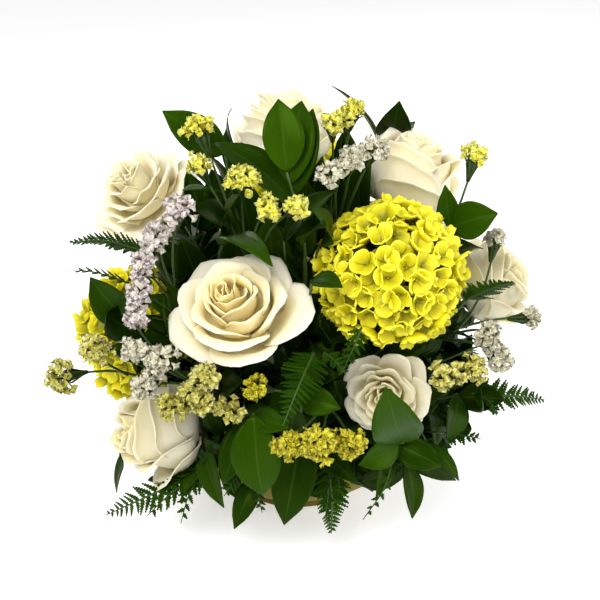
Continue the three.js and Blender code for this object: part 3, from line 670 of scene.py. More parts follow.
def floret_petal(reach, draw, cup, thickness, grid_size):
    """One broad petal along +X whose edges and tip lift into a spoon, with a waved rim."""
    rows, cols = grid_size
    width, hollow = draw.uniform(0.54, 0.70), draw.uniform(0.15, 0.42)
    curl, phase = draw.uniform(-0.7, 0.9), draw.uniform(0, 6)
    grid = np.zeros((rows, cols, 3))
    tone = np.zeros((rows, cols))
    for r in range(rows):
        a = r / (rows - 1)
        half = reach * width * math.sin(math.pi * (0.06 + 0.76 * a)) ** 0.75
        for c in range(cols):
            b = 2 * c / (cols - 1) - 1
            along = reach * (0.04 + 0.96 * a) * (1 - 0.16 * abs(b) ** 2.2 * a)
            rise = reach * (cup * a**1.5 + curl * max(0, a - 0.6) ** 1.5)
            rise += reach * hollow * b * b * math.sin(math.pi * (0.12 + 0.72 * a))
            rise += reach * 0.05 * a * a * math.sin(5 * b + phase)
            grid[r, c] = (along, half * b * (1 - 0.12 * hollow * b * b), rise)
            tone[r, c] = min(1.0, 0.75 * a + 0.35 * abs(b) ** 3 * a + 0.12 * a**6)
    return sheet(grid, thickness, tone)


def hydrangea_floret(reach, draw, thickness, grid_size):
    """Four lapping petals round a small domed eye."""
    parts = []
    cup = draw.uniform(0.05, 0.85)
    for k in range(4):
        own_reach, own_cup = reach * draw.uniform(0.85, 1.12), cup + draw.uniform(-0.12, 0.12)
        petal = floret_petal(own_reach, draw, own_cup, thickness, grid_size)
        turn = turned_round(UP, math.pi / 2 * k + draw.uniform(-0.16, 0.16))
        parts.append(moved(petal, turn, np.array([0, 0, 0.35 * (k % 2)])))
    eye = [(0, 0.1), (0.12 * reach, 0.2), (0.11 * reach, 0.12 * reach + 0.3), (0, 0.16 * reach + 0.5)]
    parts.append(lathe(eye, 6, 0.0))
    return parts


# How much of a head's ball bears florets.
HEAD_COVER = 0.8
# How much darker one head is than the others, as a shift of its petals' tone: painted shade on the left
# head, which stands low in shade.
HEAD_PAINTED_SHADE = {"left": -0.22}
# How deep a floret's eye sits under the outline of the head.
FLORET_DEPTH = 4.4
# The florets on top, and the smaller ones of the deeper layer: how many sorts are drawn, and the
# rows and columns of a petal's mesh.
FLORET_SORTS, FLORET_GRID = 14, (6, 6)
DEEP_FLORET_SORTS, DEEP_FLORET_GRID = 5, (5, 4)
# The deeper layer: its share of the florets on top, and how far it lies below them.
DEEP_SHARE, DEEP_LAYER = 0.7, 6.5
CORE_BRANCHES = 44


def make_hydrangea(name, hydrangea, settings, finishes):
    """A ball of florets on short stalks over a deeper layer of them, darkened with painted shade."""
    middle, radius, florets, spin = hydrangea
    centre = np.array(middle, float)
    draw = random.Random(f"hydrangea {name}")
    place = standing(from_heart(centre), spin)
    head = Shape()
    spacing = math.sqrt(4 * math.pi * HEAD_COVER / florets) * radius
    thickness = settings.petal_thickness / MM
    large = [
        hydrangea_floret(spacing * draw.uniform(0.55, 0.88), draw, thickness, FLORET_GRID)
        for _ in range(FLORET_SORTS)
    ]
    small = [
        hydrangea_floret(spacing * draw.uniform(0.35, 0.5), draw, thickness, DEEP_FLORET_GRID)
        for _ in range(DEEP_FLORET_SORTS)
    ]
    stalks = Shape()
    layers = ((florets, 0.0, large), (int(florets * DEEP_SHARE), DEEP_LAYER, small))
    for layer, (count, depth, choices) in enumerate(layers):
        for direction in spread_directions(count, HEAD_COVER + 0.04 * layer):
            direction = unit(direction + 0.05 * astray(draw))
            seat = direction * (radius - depth - FLORET_DEPTH + draw.uniform(-3.0, 1.6))
            tilt = unit(direction + 0.42 * astray(draw))
            turn = standing(tilt, draw.uniform(0, 90))
            # Random tone per floret, with painted shade added on the deeper layer and on the left head.
            shade = draw.uniform(-0.2, 0.12) - 0.3 * layer + HEAD_PAINTED_SHADE.get(name, 0)
            for part in draw.choice(choices):
                tinted = (part[0], part[1], part[2] + shade, part[3], part[4])
                head.add(moved(moved(tinted, turn, seat), place, centre))
            if layer == 0:
                inner = direction * 0.35 * radius
                path = np.array([inner, (inner + seat) / 2, seat])
                stalks.add(moved(tube(path, (1.1, 0.9, 0.7), 4), place, centre), 0.5)
    for direction in spread_directions(CORE_BRANCHES, 1.0):
        path = np.array([direction * share * radius for share in (0.12, 0.42, 0.68)])
        stalks.add(moved(tube(path, (2.4, 4.2, 1.0), 6), place, centre), 0.2)
    head.build(
        f"hydrangea_{name}_florets", [finishes["hydrangea"]],
        [f"hydrangea_head_{name}"],
    )
    out = from_heart(centre)
    root = root_toward(centre)
    path = smooth_path([root, (root + centre) / 2, centre - out * radius * 0.3], 10)
    stalks.add(tube(path, HYDRANGEA_STEM_RADIUS, 10), 0.45)
    stalks.build(f"hydrangea_{name}_stem", [finishes["stem"]], [f"hydrangea_stem_{name}"])


# ---- ruscus and other broad leaves ----


# Rows and columns of a leaf's mesh: on a ruscus stem, set one by one, and on a filler stem.
LEAF_GRID, SINGLE_LEAF_GRID, FILLER_LEAF_GRID = (16, 9), (12, 7), (7, 4)


def leaf_blade(
    base, tip, width, thickness, arch=0.4, grid_size=LEAF_GRID, wave=0.0, room=BLADE_ROOM, facing=None
):
    """A pointed blade that arches from the foam, or the way it faces, with its edges lifted."""
    rows, cols = grid_size
    base, tip = np.asarray(base, float), np.asarray(tip, float)
    along = tip - base
    length = np.linalg.norm(along)
    out = from_heart((base + tip) / 2) if facing is None else np.array(facing, float)
    face = unit(out - along * np.dot(out, along) / length**2)
    side = np.cross(unit(along), face)
    t = np.linspace(0, 1, rows)[:, None]
    rib = base + along * t + face * (arch * length * t * (1 - t))
    half = 0.5 * width * np.sin(math.pi * np.clip(t, 0, 1) ** 0.9) ** 0.76
    half = np.maximum(half * (1 - 0.3 * np.clip((t - 0.82) / 0.18, 0, 1)), 0.35)
    b = np.linspace(-1, 1, cols)[None, :]
    lift = np.abs(b) ** 1.4 * half * 0.25 + wave * half * np.sin(9 * t + 2.2 * np.sign(b)) * b * b
    grid = rib[:, None, :] + side * (half * b)[..., None] + face * lift[..., None]
    if room is not None:
        for r in range(1, rows):
            for c in range(cols):
                grid[r, c] = clear_of_blooms(grid[r, c], room)
    return sheet(grid, thickness)


def make_ruscus(name, stem, settings, finishes):
    """A green stem with its dark glossy leaves."""
    route, leaves = stem
    points = stem_route(route, LEAFY_STEM_RADIUS)
    draw = random.Random(f"ruscus {name}")
    spray = Shape()
    # The stem runs halfway between the smooth curve and the straight stretches of the solid.
    joints = smooth_path(points, STEM_STEPS)
    stretches = [np.linspace(a, b, STRETCH_STEPS, endpoint=False) for a, b in zip(joints, joints[1:])]
    straight = np.concatenate([*stretches, joints[-1:]])
    path = 0.5 * (smooth_path(points, STEM_STEPS * STRETCH_STEPS) + straight)
    spray.add(tube(path, np.linspace(LEAFY_STEM_RADIUS, 0.9, len(path)), 8), 0.6, 1)
    for share, tip, width, *more in leaves:
        facing = more[0] if more else None
        room = more[1] if len(more) > 1 else BLADE_ROOM
        blade = leaf_blade(
            along_stem(points, share), tip, width, settings.leaf_thickness / MM,
            wave=draw.uniform(-0.1, 0.1), room=room, facing=facing,
        )
        spray.add(blade, draw.uniform(0.0, 1.0))
    spray.build(
        f"ruscus_{name}_spray", [finishes["ruscus"], finishes["stem"]], [f"ruscus_{name}"]
    )


# ---- ferns ----

# A fern leaflet's thickness as a share of a leaf's, and its teeth on a frond and on a small sprig.
FERN_THINNESS = 0.6
FROND_TEETH, SPRIG_TEETH = 6, 4
SPRIG_PAIRS = 7


def serrated_leaflet(base, ahead, face, length, width, teeth, thickness):
    """A flat tapering leaflet with forward-pointing teeth."""
    rows = 2 * teeth + 2
    side = unit(np.cross(ahead, face))
    grid = np.zeros((rows, 3, 3))
    for r in range(rows):
        t = r / (rows - 1)
        body = width * (0.35 + 0.65 * min(1, t / 0.18)) * (1 - t) ** 0.75 + 0.25
        tooth = 1.0 if r % 2 == 0 else 0.52
        for c in range(3):
            b = c - 1
            reach = body * tooth
            lead = 0.12 * length * abs(b) * (tooth - 0.5)
            droop = -0.10 * length * t * t - 0.12 * body * b * b
            grid[r, c] = base + ahead * (length * t + lead) + side * (reach * b) + face * droop
    return sheet(grid, thickness)


def make_fern(name, fern, settings, finishes):
    """A fern frond: an arched stalk with toothed leaflets in two rows, longest near its foot."""
    route, tip, reach = fern
    stalk = stem_route(route, LEAFY_STEM_RADIUS)
    base, tip = stalk[-1], np.array(tip, float)
    middle = (base + tip) / 2 + from_heart(base) * 0.14 * np.linalg.norm(tip - base)
    draw = random.Random(f"fern {name}")
    frond = Shape()
    frond.add(tube(smooth_path(stalk, 16), LEAFY_STEM_RADIUS, 8), 0.5, 1)
    # Each pair takes three steps of the rib: a gap, then a leaflet on one side and on the other.
    pairs = settings.fern_pairs
    rib = smooth_path([base, middle, tip], 3 * pairs)
    frond.add(tube(rib, np.linspace(1.1, 0.35, len(rib)), 6), 0.6, 1)
    ahead = unit(np.gradient(rib, axis=0))
    for k in range(pairs * 3 - 1):
        if k % 3 == 0:
            continue
        t = k / (3 * pairs)
        hand = 1 if k % 3 == 1 else -1
        here = rib[k]
        out = from_heart(here)
        side = unit(np.cross(ahead[k], out)) * hand
        length = (reach + 2) * min(1, 0.6 + 1.9 * t) * (1 - t) ** 0.85 * draw.uniform(0.84, 1.08) + 1.5
        direction = unit(side + ahead[k] * draw.uniform(0.45, 0.85) + out * draw.uniform(-0.15, 0.15))
        face = unit(np.cross(ahead[k], side) * hand)
        leaflet = serrated_leaflet(
            here, direction, face, length, 0.9 + 0.13 * length, FROND_TEETH,
            settings.leaf_thickness * FERN_THINNESS / MM,
        )
        points = np.array([clear_of_blooms(p, LEAFLET_ROOM) for p in leaflet[0]])
        frond.add((points, *leaflet[1:]), draw.uniform(0.2, 0.9))
    frond.build(f"fern_{name}_frond", [finishes["fern"], finishes["stem"]], [f"fern_{name}"])


# ---- statice ----

# The pale sprays that are more cream than lavender, and the yellow ones that are deep or pale.
SPRAY_FINISH = {
    ("white", "lower_left"): "creamy",
    ("white", "crown"): "creamy",
    ("white", "right"): "creamy",
    ("yellow", "front"): "golden",
    ("yellow", "left"): "pale",
    ("yellow", "lower_left"): "pale",
    ("yellow", "lower_right"): "pale",
}
# Clumps of a spray nearer than this run into each other, except in the loose sprays.
HEAD_BRIDGE = 32
LOOSE_SPRAYS = ("upper_left",)
# How far apart the twigs leave the stem, as a share of its length.
TWIG_SPACING = 0.05
# How much of a clump's ball bears cups, how crowded they are and how many sorts are drawn.
CLUMP_COVER, CUP_CROWD, CUP_SORTS = 0.66, 2.0, 6
# The green scales and ribs that hold a clump.
BRACTS, NECK_RIBS = 14, 7
# How much paler (or deeper, below 0) the cups of a spray are than usual; the deeper values of the low yellow
# sprays are painted shade.
SPRAY_PALENESS_AND_SHADE = {
    ("yellow", "lower_left"): -0.12,
    ("yellow", "lower_right"): -0.05,
    ("yellow", "upper_left"): 0.3,
    ("yellow", "crown"): 0.35,
    ("yellow", "top_right"): 0.3,
    ("white", "left"): 0.2,
    ("white", "lower_left"): 0.08,
    ("white", "crown"): 0.12,
}


def papery_cup(size, draw):
    """A small flared papery cup whose frill is crinkled, with a second frill in its throat."""
    segments = 10
    outer = ((0.08, 0.0), (0.16, 0.42), (0.30, 0.74), (0.66, 1.00), (0.28, 0.73))
    inner = ((0.20, 0.70), (0.36, 1.02), (0.12, 0.66))
    profile = outer + inner
    parts = lathe([(0, 0)] + [(r * size, z * size) for r, z in profile] + [(0, 0.62 * size)], segments)
    points = parts[0].copy()
    ring = np.arange(len(profile)).repeat(segments)
    angle = np.tile(2 * math.pi * np.arange(segments) / segments, len(profile))
    crinkle = np.array([0, 0, 0.25, 1.0, 0.3, 0.3, 0.8, 0.0])[ring]
    phases = [draw.uniform(0, 6) for _ in range(4)]
    fan = np.cos(2 * angle + phases[0])
    swing = 0.20 * fan + 0.16 * np.cos(5 * angle + phases[1])
    n = len(profile) * segments
    points[:n, :2] *= (1 + crinkle * swing)[:, None]
    wave = 0.18 * np.cos(3 * angle + phases[2]) + 0.10 * np.cos(4 * angle + phases[3])
    points[:n, 2] += crinkle * size * wave
    # The foot and the throat of the cup take the lowest tones, which the finish paints as shade; the frills
    # take the highest.
    tones = (0.05, 0.25, 0.5, 1.0, 0.35, 0.3, 0.9, 0.1)
    tone = np.concatenate([np.array(tones).repeat(segments), [0.1, 0.0]])
    return points, parts[1], tone, parts[3], parts[4]


def bract(base, tip, width, out):
    """A small green scale that clasps the clump from below."""
    t = np.linspace(0, 1, 5)[:, None]
    line = base + (tip - base) * t + out * (0.12 * np.linalg.norm(tip - base)) * np.sin(math.pi * t)
    side = unit(np.cross(tip - base, out))
    half = width * np.sin(math.pi * (0.15 + 0.8 * t)) + 0.1
    grid = line[:, None, :] + side * (half * np.array([[-1, 0, 1]]))[..., None]
    return sheet(grid, 0.35)


def statice_head(head, middle, radius, direction, cup_size, lift, draw):
    """A domed clump of ruffled cups over green scales, on the end of a twig."""
    place = standing(direction, draw.uniform(0, 360))
    sorts = [papery_cup(cup_size * draw.uniform(0.85, 1.15), draw) for _ in range(CUP_SORTS)]
    count = int(CUP_CROWD * CLUMP_COVER * (2 * radius / cup_size) ** 2)
    spread = np.array([draw.uniform(0.8, 1.25), draw.uniform(0.7, 1.05), draw.uniform(0.75, 1.05)])
    lumps = [draw.uniform(0, 6) for _ in range(2)]
    foot = np.array([0, 0, -0.55 * radius])
    # The clump's random tone plus the spray's shift, which is painted shade on the low sprays.
    mood = draw.uniform(-0.22, 0.12) + lift
    for way in spread_directions(count, CLUMP_COVER):
        way = unit(way + 0.2 * astray(draw))
        lump = 0.14 * math.sin(5 * way[0] + lumps[0]) + 0.14 * math.sin(6 * way[1] + lumps[1])
        level = draw.uniform(0.58, 0.86) + lump
        seat = way * (radius * level - 0.7 * cup_size) * spread
        lean = unit(way + 0.5 * unit(way - foot / radius) + 0.3 * astray(draw))
        part = draw.choice(sorts)
        # Cups set deeper in the clump are darker: painted shade.
        tone = np.clip(part[2] + mood + draw.uniform(-0.15, 0.12) - 0.25 * (1 - level), 0, 1)
        cup = (part[0], part[1], tone, part[3], part[4])
        head.add(moved(moved(cup, standing(lean, draw.uniform(0, 360)), seat), place, middle))
    for k in range(BRACTS):
        around = k * GOLDEN_ANGLE
        out = np.array([math.cos(around), math.sin(around), 0.0])
        base = foot + UP * draw.uniform(-0.2, 0.3) * radius + out * 0.8
        tip = base + out * radius * draw.uniform(0.3, 0.62) + UP * radius * draw.uniform(0.35, 0.6)
        head.add(moved(bract(base, tip, 0.13 * radius, out), place, middle), draw.uniform(0.2, 0.9), 1)
    neck = np.array([foot - UP * share * radius for share in (1.25, 0.8, 0.35, 0.0, -0.4)])
    girth = (0.9, 1.5, 0.24 * radius, 0.32 * radius, 0.2 * radius)
    head.add(moved(tube(neck, girth, 7), place, middle), 0.3, 1)
    for k in range(NECK_RIBS):
        around = 2 * math.pi * k / NECK_RIBS
        out = np.array([math.cos(around), math.sin(around), 0.0])
        rib = neck + out * np.array([0.9, 1.7, 0.30 * radius, 0.42 * radius, 0.4 * radius])[:, None]
        head.add(moved(tube(rib, (0.3, 0.5, 0.7, 0.8, 0.4), 4), place, middle), draw.uniform(0.2, 0.7), 1)


def make_statice(colour, name, spray, settings, finishes):
    """A green stem that forks to clumps of papery cups."""
    fork, heads = spray
    shade = SPRAY_FINISH.get((colour, name), colour)
    # The spray's tone shift: paler for some sprays, painted shade for the low ones.
    lift = SPRAY_PALENESS_AND_SHADE.get((colour, name), 0)
    draw = random.Random(f"statice {colour} {name}")
    lower = stem_route([fork], TWIG_RADIUS)

    def reach_out(start, middle, radius):
        top = clear_of_blooms(middle, radius * 0.8)
        bow = (start + top) / 2 + from_heart(start) * 0.12 * np.linalg.norm(top - start)
        return [clear_of_blooms(bow, TWIG_RADIUS + BLADE_ROOM), top]

    stem = np.array([*lower, *reach_out(lower[-1], *heads[0])])
    fork_share = path_length(smooth_path(lower, 60)) / path_length(smooth_path(stem, 60))
    sprig = Shape()
    for k, (middle, radius) in enumerate(heads):
        start = along_stem(stem, fork_share * (1 - TWIG_SPACING * k))
        bend, top = stem[-2:] if k == 0 else reach_out(start, middle, radius)
        path = stem if k == 0 else [start, bend, top]
        thick = STATICE_STEM_RADIUS if k == 0 else TWIG_RADIUS
        line = smooth_path(path, 14)
        sprig.add(tube(line, np.linspace(thick, 0.7, len(line)), 6), draw.uniform(0.4, 0.8), 1)
        statice_head(sprig, top, radius, unit(top - bend), settings.cup_size / MM, lift, draw)
        if k and name not in LOOSE_SPRAYS and np.linalg.norm(top - last) < HEAD_BRIDGE:
            between = (top + last) / 2 - unit(top - bend) * 0.15 * radius
            statice_head(sprig, between, 0.8 * radius, unit(top - bend), settings.cup_size / MM, lift, draw)
        last = top
    sprig.build(
        f"statice_{colour}_{name}_sprig", [finishes[shade], finishes["stem"]],
        [f"statice_{colour}_{name}"],
    )


# ---- greens between the flowers ----

# Leaves set one by one: (base, tip, width).
SINGLE_LEAVES = (
    ((22, -82, 206), (8, -100, 240), 21),
    ((-8, -80, 212), (24, -84, 246), 18),
    ((9, -115, 199), (27, -134, 202), 14),
    ((-69, -103, 155), (-76, -109, 185), 13),
    ((-107, -80, 73), (-121, -83, 34), 9),
    ((-60, -96, 84), (-46, -132, 52), 17),
    ((70, -104, 70), (74, -122, 38), 16),
    ((-24, -110, 66), (-40, -128, 34), 15),
    ((84, -98, 80), (104, -112, 60), 10),
    ((-62, -80, 66), (-84, -98, 52), 18),
    ((-70, -74, 62), (-98, -92, 50), 15),
    ((-56, -84, 58), (-74, -104, 46), 17),
    ((-48, -86, 84), (-60, -112, 64), 17),
    ((-56, -88, 70), (-72, -118, 54), 16),
    ((-36, -94, 82), (-46, -120, 58), 16),
    ((-52, -84, 94), (-55, -104, 72), 15),
    ((-66, -84, 62), (-88, -116, 50), 16),
    ((-44, -96, 64), (-34, -120, 50), 15),
)
# Leaves that face the front behind the flowers and close the view between them.
SCREEN_LEAVES = (
    ((-30, -22, 192), (-37, -32, 240), 25),
    ((-13, -27, 190), (-15, -36, 236), 25),
    ((5, -26, 190), (6, -36, 238), 26),
    ((20, -20, 196), (24, -26, 246), 27),
    ((30, -10, 212), (32, -10, 266), 22),
    ((40, -14, 204), (47, -18, 254), 24),
    ((-44, -14, 194), (-56, -24, 242), 23),
    ((-62, -34, 158), (-75, -50, 204), 24),
    ((-52, -50, 150), (-62, -74, 190), 22),
    ((22, -14, 216), (24, -12, 274), 24),
    ((9, -28, 205), (13, -34, 256), 24),
    ((-14, -60, 182), (-18, -80, 228), 25),
    ((10, -52, 190), (14, -70, 240), 25),
    ((30, 4, 214), (33, 6, 262), 22),
    ((-36, -50, 176), (-42, -66, 226), 22),
    ((-60, -16, 196), (-72, -22, 240), 22),
)
# Small sprigs of fern between the flowers and over the rim: (base, tip, reach).
SMALL_SPRIGS = (
    ((39, -124, 172), (28, -134, 149), 8),
    ((17, -120, 154), (30, -131, 144), 7),
    ((122, -90, 148), (135, -99, 136), 7),
    ((116, -90, 112), (128, -99, 100), 8),
    ((24, -116, 80), (27, -127, 57), 8),
    ((20, -118, 72), (18, -132, 45), 6),
    ((-30, -116, 78), (-46, -128, 58), 9),
    ((-26, -116, 70), (-22, -128, 46), 8),
    ((62, -114, 84), (42, -130, 42), 7),
    ((96, -92, 84), (118, -104, 86), 9),
    ((-116, -40, 120), (-143, -58, 118), 10),
    ((-110, -50, 172), (-146, -64, 186), 10),
    ((-66, -104, 60), (-96, -122, 40), 12),
    ((-58, -100, 66), (-74, -128, 38), 12),
)
# The arrangement's outline above the foam's heart, and where the filler leaves end.
DOME_SIDE, DOME_TOP = 126.0, 212.0
FILLER_LOW, FILLER_HIGH, FILLER_WIDE = 50.0, 284.0, 130.0
# How near the pole the first filler stem stands, as the height of its direction, the steps of
# a stem, and the first of them that bears leaves.
FILLER_POLE, FILLER_STEPS, FIRST_LEAF = 0.93, 12, 3
# The leaves' lengths, and their widths as shares of the length.
FILLER_LENGTHS, FILLER_WIDTHS = (30, 46), (0.40, 0.52)
# The height at which the leaves are darkest, and how far above it they are as pale as any: painted shade on
# the leaves low inside the arrangement.
PAINTED_SHADE_HEIGHT, PAINTED_SHADE_DEPTH = 40, 130


def blooms_clear(points, spare):
    """True if every point stands outside every bloom."""
    return all(
        np.all(np.linalg.norm(points - middle, axis=1) > radius + spare) for middle, radius in BLOOM_ROOMS
    )


def dome_reach(direction):
    """How far the arrangement's outline lies from the foam's heart in a direction."""
    flat = math.hypot(direction[0], direction[1])
    return 1 / math.hypot(flat / DOME_SIDE, direction[2] / DOME_TOP)


def filler_line(k, count, draw):
    """The run of a filler stem until it meets a bloom, and the side that it bows to."""
    z = FILLER_POLE - FILLER_POLE * (k + 0.5) / count
    flat = math.sqrt(1 - z * z)
    angle = k * GOLDEN_ANGLE + draw.uniform(-0.1, 0.1)
    way = unit(np.array([flat * math.cos(angle), flat * math.sin(angle), z + draw.uniform(-0.04, 0.04)]))
    reach = dome_reach(way) * draw.uniform(0.82, 1.0)
    side = unit(np.cross(way, UP if abs(way[2]) < 0.9 else [1, 0, 0]))
    bow = side * draw.uniform(-14, 14)
    t = np.linspace(ROOT_DEPTH / reach, 1, FILLER_STEPS)[:, None]
    line = HEART + way * reach * t + bow * np.sin(math.pi * t)
    clear = [blooms_clear(point[None], BLADE_ROOM) for point in line]
    return line[:clear.index(False) if False in clear else FILLER_STEPS], side


def add_filler_leaf(greens, here, ahead, out, at_tip, settings, draw):
    """A leaf of a filler stem, left out where it would stand in a bloom or past the outline."""
    lean = 0.95 if at_tip else draw.uniform(0.25, 0.7)
    heading = unit(ahead * lean + out * (1 - lean))
    length = draw.uniform(*FILLER_LENGTHS) * (0.8 if at_tip else 1)
    tip = here + heading * length
    if not FILLER_LOW <= tip[2] <= FILLER_HIGH or math.hypot(tip[0], tip[1]) > FILLER_WIDE:
        return
    rib = here + (tip - here) * np.linspace(0.1, 1, 5)[:, None]
    if not blooms_clear(rib, FILLER_ROOM):
        return
    blade = leaf_blade(
        here, tip, length * draw.uniform(*FILLER_WIDTHS), settings.leaf_thickness / MM,
        arch=draw.uniform(0.1, 0.45), grid_size=FILLER_LEAF_GRID, wave=draw.uniform(-0.1, 0.1), room=None,
    )
    # Leaves low inside the arrangement are darker: painted shade.
    shade = min(1.0, max(0.1, (here[2] - PAINTED_SHADE_HEIGHT) / PAINTED_SHADE_DEPTH))
    greens.add(blade, draw.uniform(0.0, 0.7) * shade)


def make_filler(settings, finishes):
    """Leafy stems that close the gaps between the flowers, and hang over the bowl's rim."""
    draw = random.Random("filler")
    greens = Shape()
    for k in range(settings.filler_stems):
        line, side = filler_line(k, settings.filler_stems, draw)
        top = len(line) - 1
        if top <= FIRST_LEAF:
            continue
        greens.add(tube(line, np.linspace(1.3, 0.7, len(line)), 6), 0.5, 1)
        for j in range(FIRST_LEAF, len(line)):
            ahead = unit(line[j] - line[j - 1])
            spin = draw.uniform(0, 2 * math.pi)
            other = np.cross(ahead, side)
            for turn in (spin, spin + math.pi) if j < top else (spin,):
                out = side * math.cos(turn) + other * math.sin(turn)
                add_filler_leaf(greens, line[j], ahead, out, j == top, settings, draw)
    for base, tip, width in SINGLE_LEAVES:
        blade = leaf_blade(base, tip, width, settings.leaf_thickness / MM, grid_size=SINGLE_LEAF_GRID)
        greens.add(blade, draw.uniform(0.2, 0.8))
        twig = smooth_path([root_toward(base), (root_toward(base) + base) / 2, base], 8)
        twig = np.array([clear_of_blooms(p, BLADE_ROOM) for p in twig])
        greens.add(tube(twig, 0.9, 5), 0.5, 1)
    for base, tip, width in SCREEN_LEAVES:
        blade = leaf_blade(
            base, tip, width, settings.leaf_thickness / MM,
            arch=draw.uniform(-0.1, 0.3), grid_size=SINGLE_LEAF_GRID, facing=(0, -1, 0.2),
        )
        greens.add(blade, draw.uniform(0.1, 0.5))
    for base, tip, reach in SMALL_SPRIGS:
        add_sprig(greens, base, tip, reach, settings.leaf_thickness * FERN_THINNESS / MM, draw)
    greens.build(
        "filler_greens", [finishes["ruscus"], finishes["stem"], finishes["fern"]]
    )


def add_sprig(greens, base, tip, reach, thickness, draw):
    """A small fern tip on a thin stalk that comes out of the greens."""
    base, tip = np.array(base, float), np.array(tip, float)
    root = base + (root_toward(base) - base) * 0.5
    bend = (base + tip) / 2 + from_heart(base) * 0.15 * np.linalg.norm(tip - base)
    stalk = [clear_of_blooms(p, BLADE_ROOM) for p in smooth_path([root, base], 5)]
    greens.add(tube(np.array(stalk), 0.7, 5), 0.5, 1)
    steps = 2 * SPRIG_PAIRS
    rib = smooth_path([base, bend, tip], steps)
    greens.add(tube(rib, np.linspace(0.7, 0.3, len(rib)), 5), 0.5, 1)
    ahead = unit(np.gradient(rib, axis=0))
    for k in range(1, steps - 1):
        hand = 1 if k % 2 else -1
        side = unit(np.cross(ahead[k], from_heart(rib[k]))) * hand
        length = reach * (1 - k / steps) ** 0.6 * draw.uniform(0.8, 1.1) + 1
        direction = unit(side + ahead[k] * draw.uniform(0.5, 1.0))
        face = unit(np.cross(ahead[k], side) * hand)
        width = 1.2 + 0.14 * length
        leaflet = serrated_leaflet(rib[k], direction, face, length, width, SPRIG_TEETH, thickness)
        greens.add(leaflet, draw.uniform(0.1, 0.7), 2)


# ---- bowl and foam ----


def make_bowl(settings, finishes):
    """A low glazed bowl with a rolled rim and a foot ring."""
    rim, foot, wall, height = BOWL_RIM_RADIUS, BOWL_FOOT_RADIUS, BOWL_WALL, BOWL_HEIGHT
    outside = smooth_path(
        [(foot - 0.4, FOOT_HEIGHT + 0.4, 0), (rim - 10, 0.42 * height, 0), (rim - 2, 0.74 * height, 0),
         (rim, height - 1.6, 0)], 22)[:, :2]
    inside = smooth_path(
        [(rim - wall, height - 1.6, 0), (rim - 2 - wall, 0.74 * height, 0),
         (rim - 12 - wall, 0.46 * height, 0), (foot, BOWL_FLOOR + 0.3, 0)], 20)[:, :2]
    profile = [
        (0, FOOT_HOLLOW), (foot - 6, FOOT_HOLLOW), (foot - 5, 0), (foot - 0.8, 0), (foot, 0.8),
        (foot, FOOT_HEIGHT - 0.6),
    ]
    profile += [tuple(p) for p in outside]
    profile += [(rim - 0.5, height - 0.5), (rim - 0.5 * wall, height), (rim - wall + 0.5, height - 0.5)]
    profile += [tuple(p) for p in inside] + [(foot - 6, BOWL_FLOOR), (0, BOWL_FLOOR)]
    bowl = Shape()
    bowl.add(lathe(profile, settings.facets), 0.0)
    bowl.build("glazed_bowl", [finishes["glaze"]], ["bowl"])


def make_foam(finishes):
    """The block of soaked foam that holds the stems, trimmed round at its shoulders."""
    profile = smooth_path(
        [(0, FOAM_TOP, 0), (30, FOAM_TOP - 3, 0), (FOAM_RADIUS - 16, FOAM_TOP - 8, 0),
         (FOAM_RADIUS - 2, FOAM_TOP - 24, 0), (FOAM_RADIUS - 1, 40, 0), (FOAM_RADIUS - 3, 28, 0),
         (BOWL_FOOT_RADIUS - 4, 9.5, 0), (0, 9.4, 0)], 34)[::-1, :2]
    points, *rest = lathe(profile, 64)
    draw = random.Random("foam")
    pits = np.array([1 - 0.012 * draw.random() for _ in range(len(points))])
    points = points.copy()
    points[:, :2] *= pits[:, None]
    block = Shape()
    block.add((points, *rest), 0.0)
    block.build("foam_block", [finishes["foam"]], ["foam"])


# ---- finishes ----

WHITE, BLACK = (1, 1, 1), (0, 0, 0)
# How many veins, ribs or pleats there are from edge to edge, or round a stem or a cup.
RUSCUS_VEINS, FERN_VEINS, STEM_RIBS, CUP_PLEATS = 11, 1.5, 5, 15


def scaled(colour, share):
    return tuple(share * c for c in colour)


def mixed(a, b, share):
    """A colour between two, with this share of the second."""
    return tuple((1 - share) * x + share * y for x, y in zip(a, b))


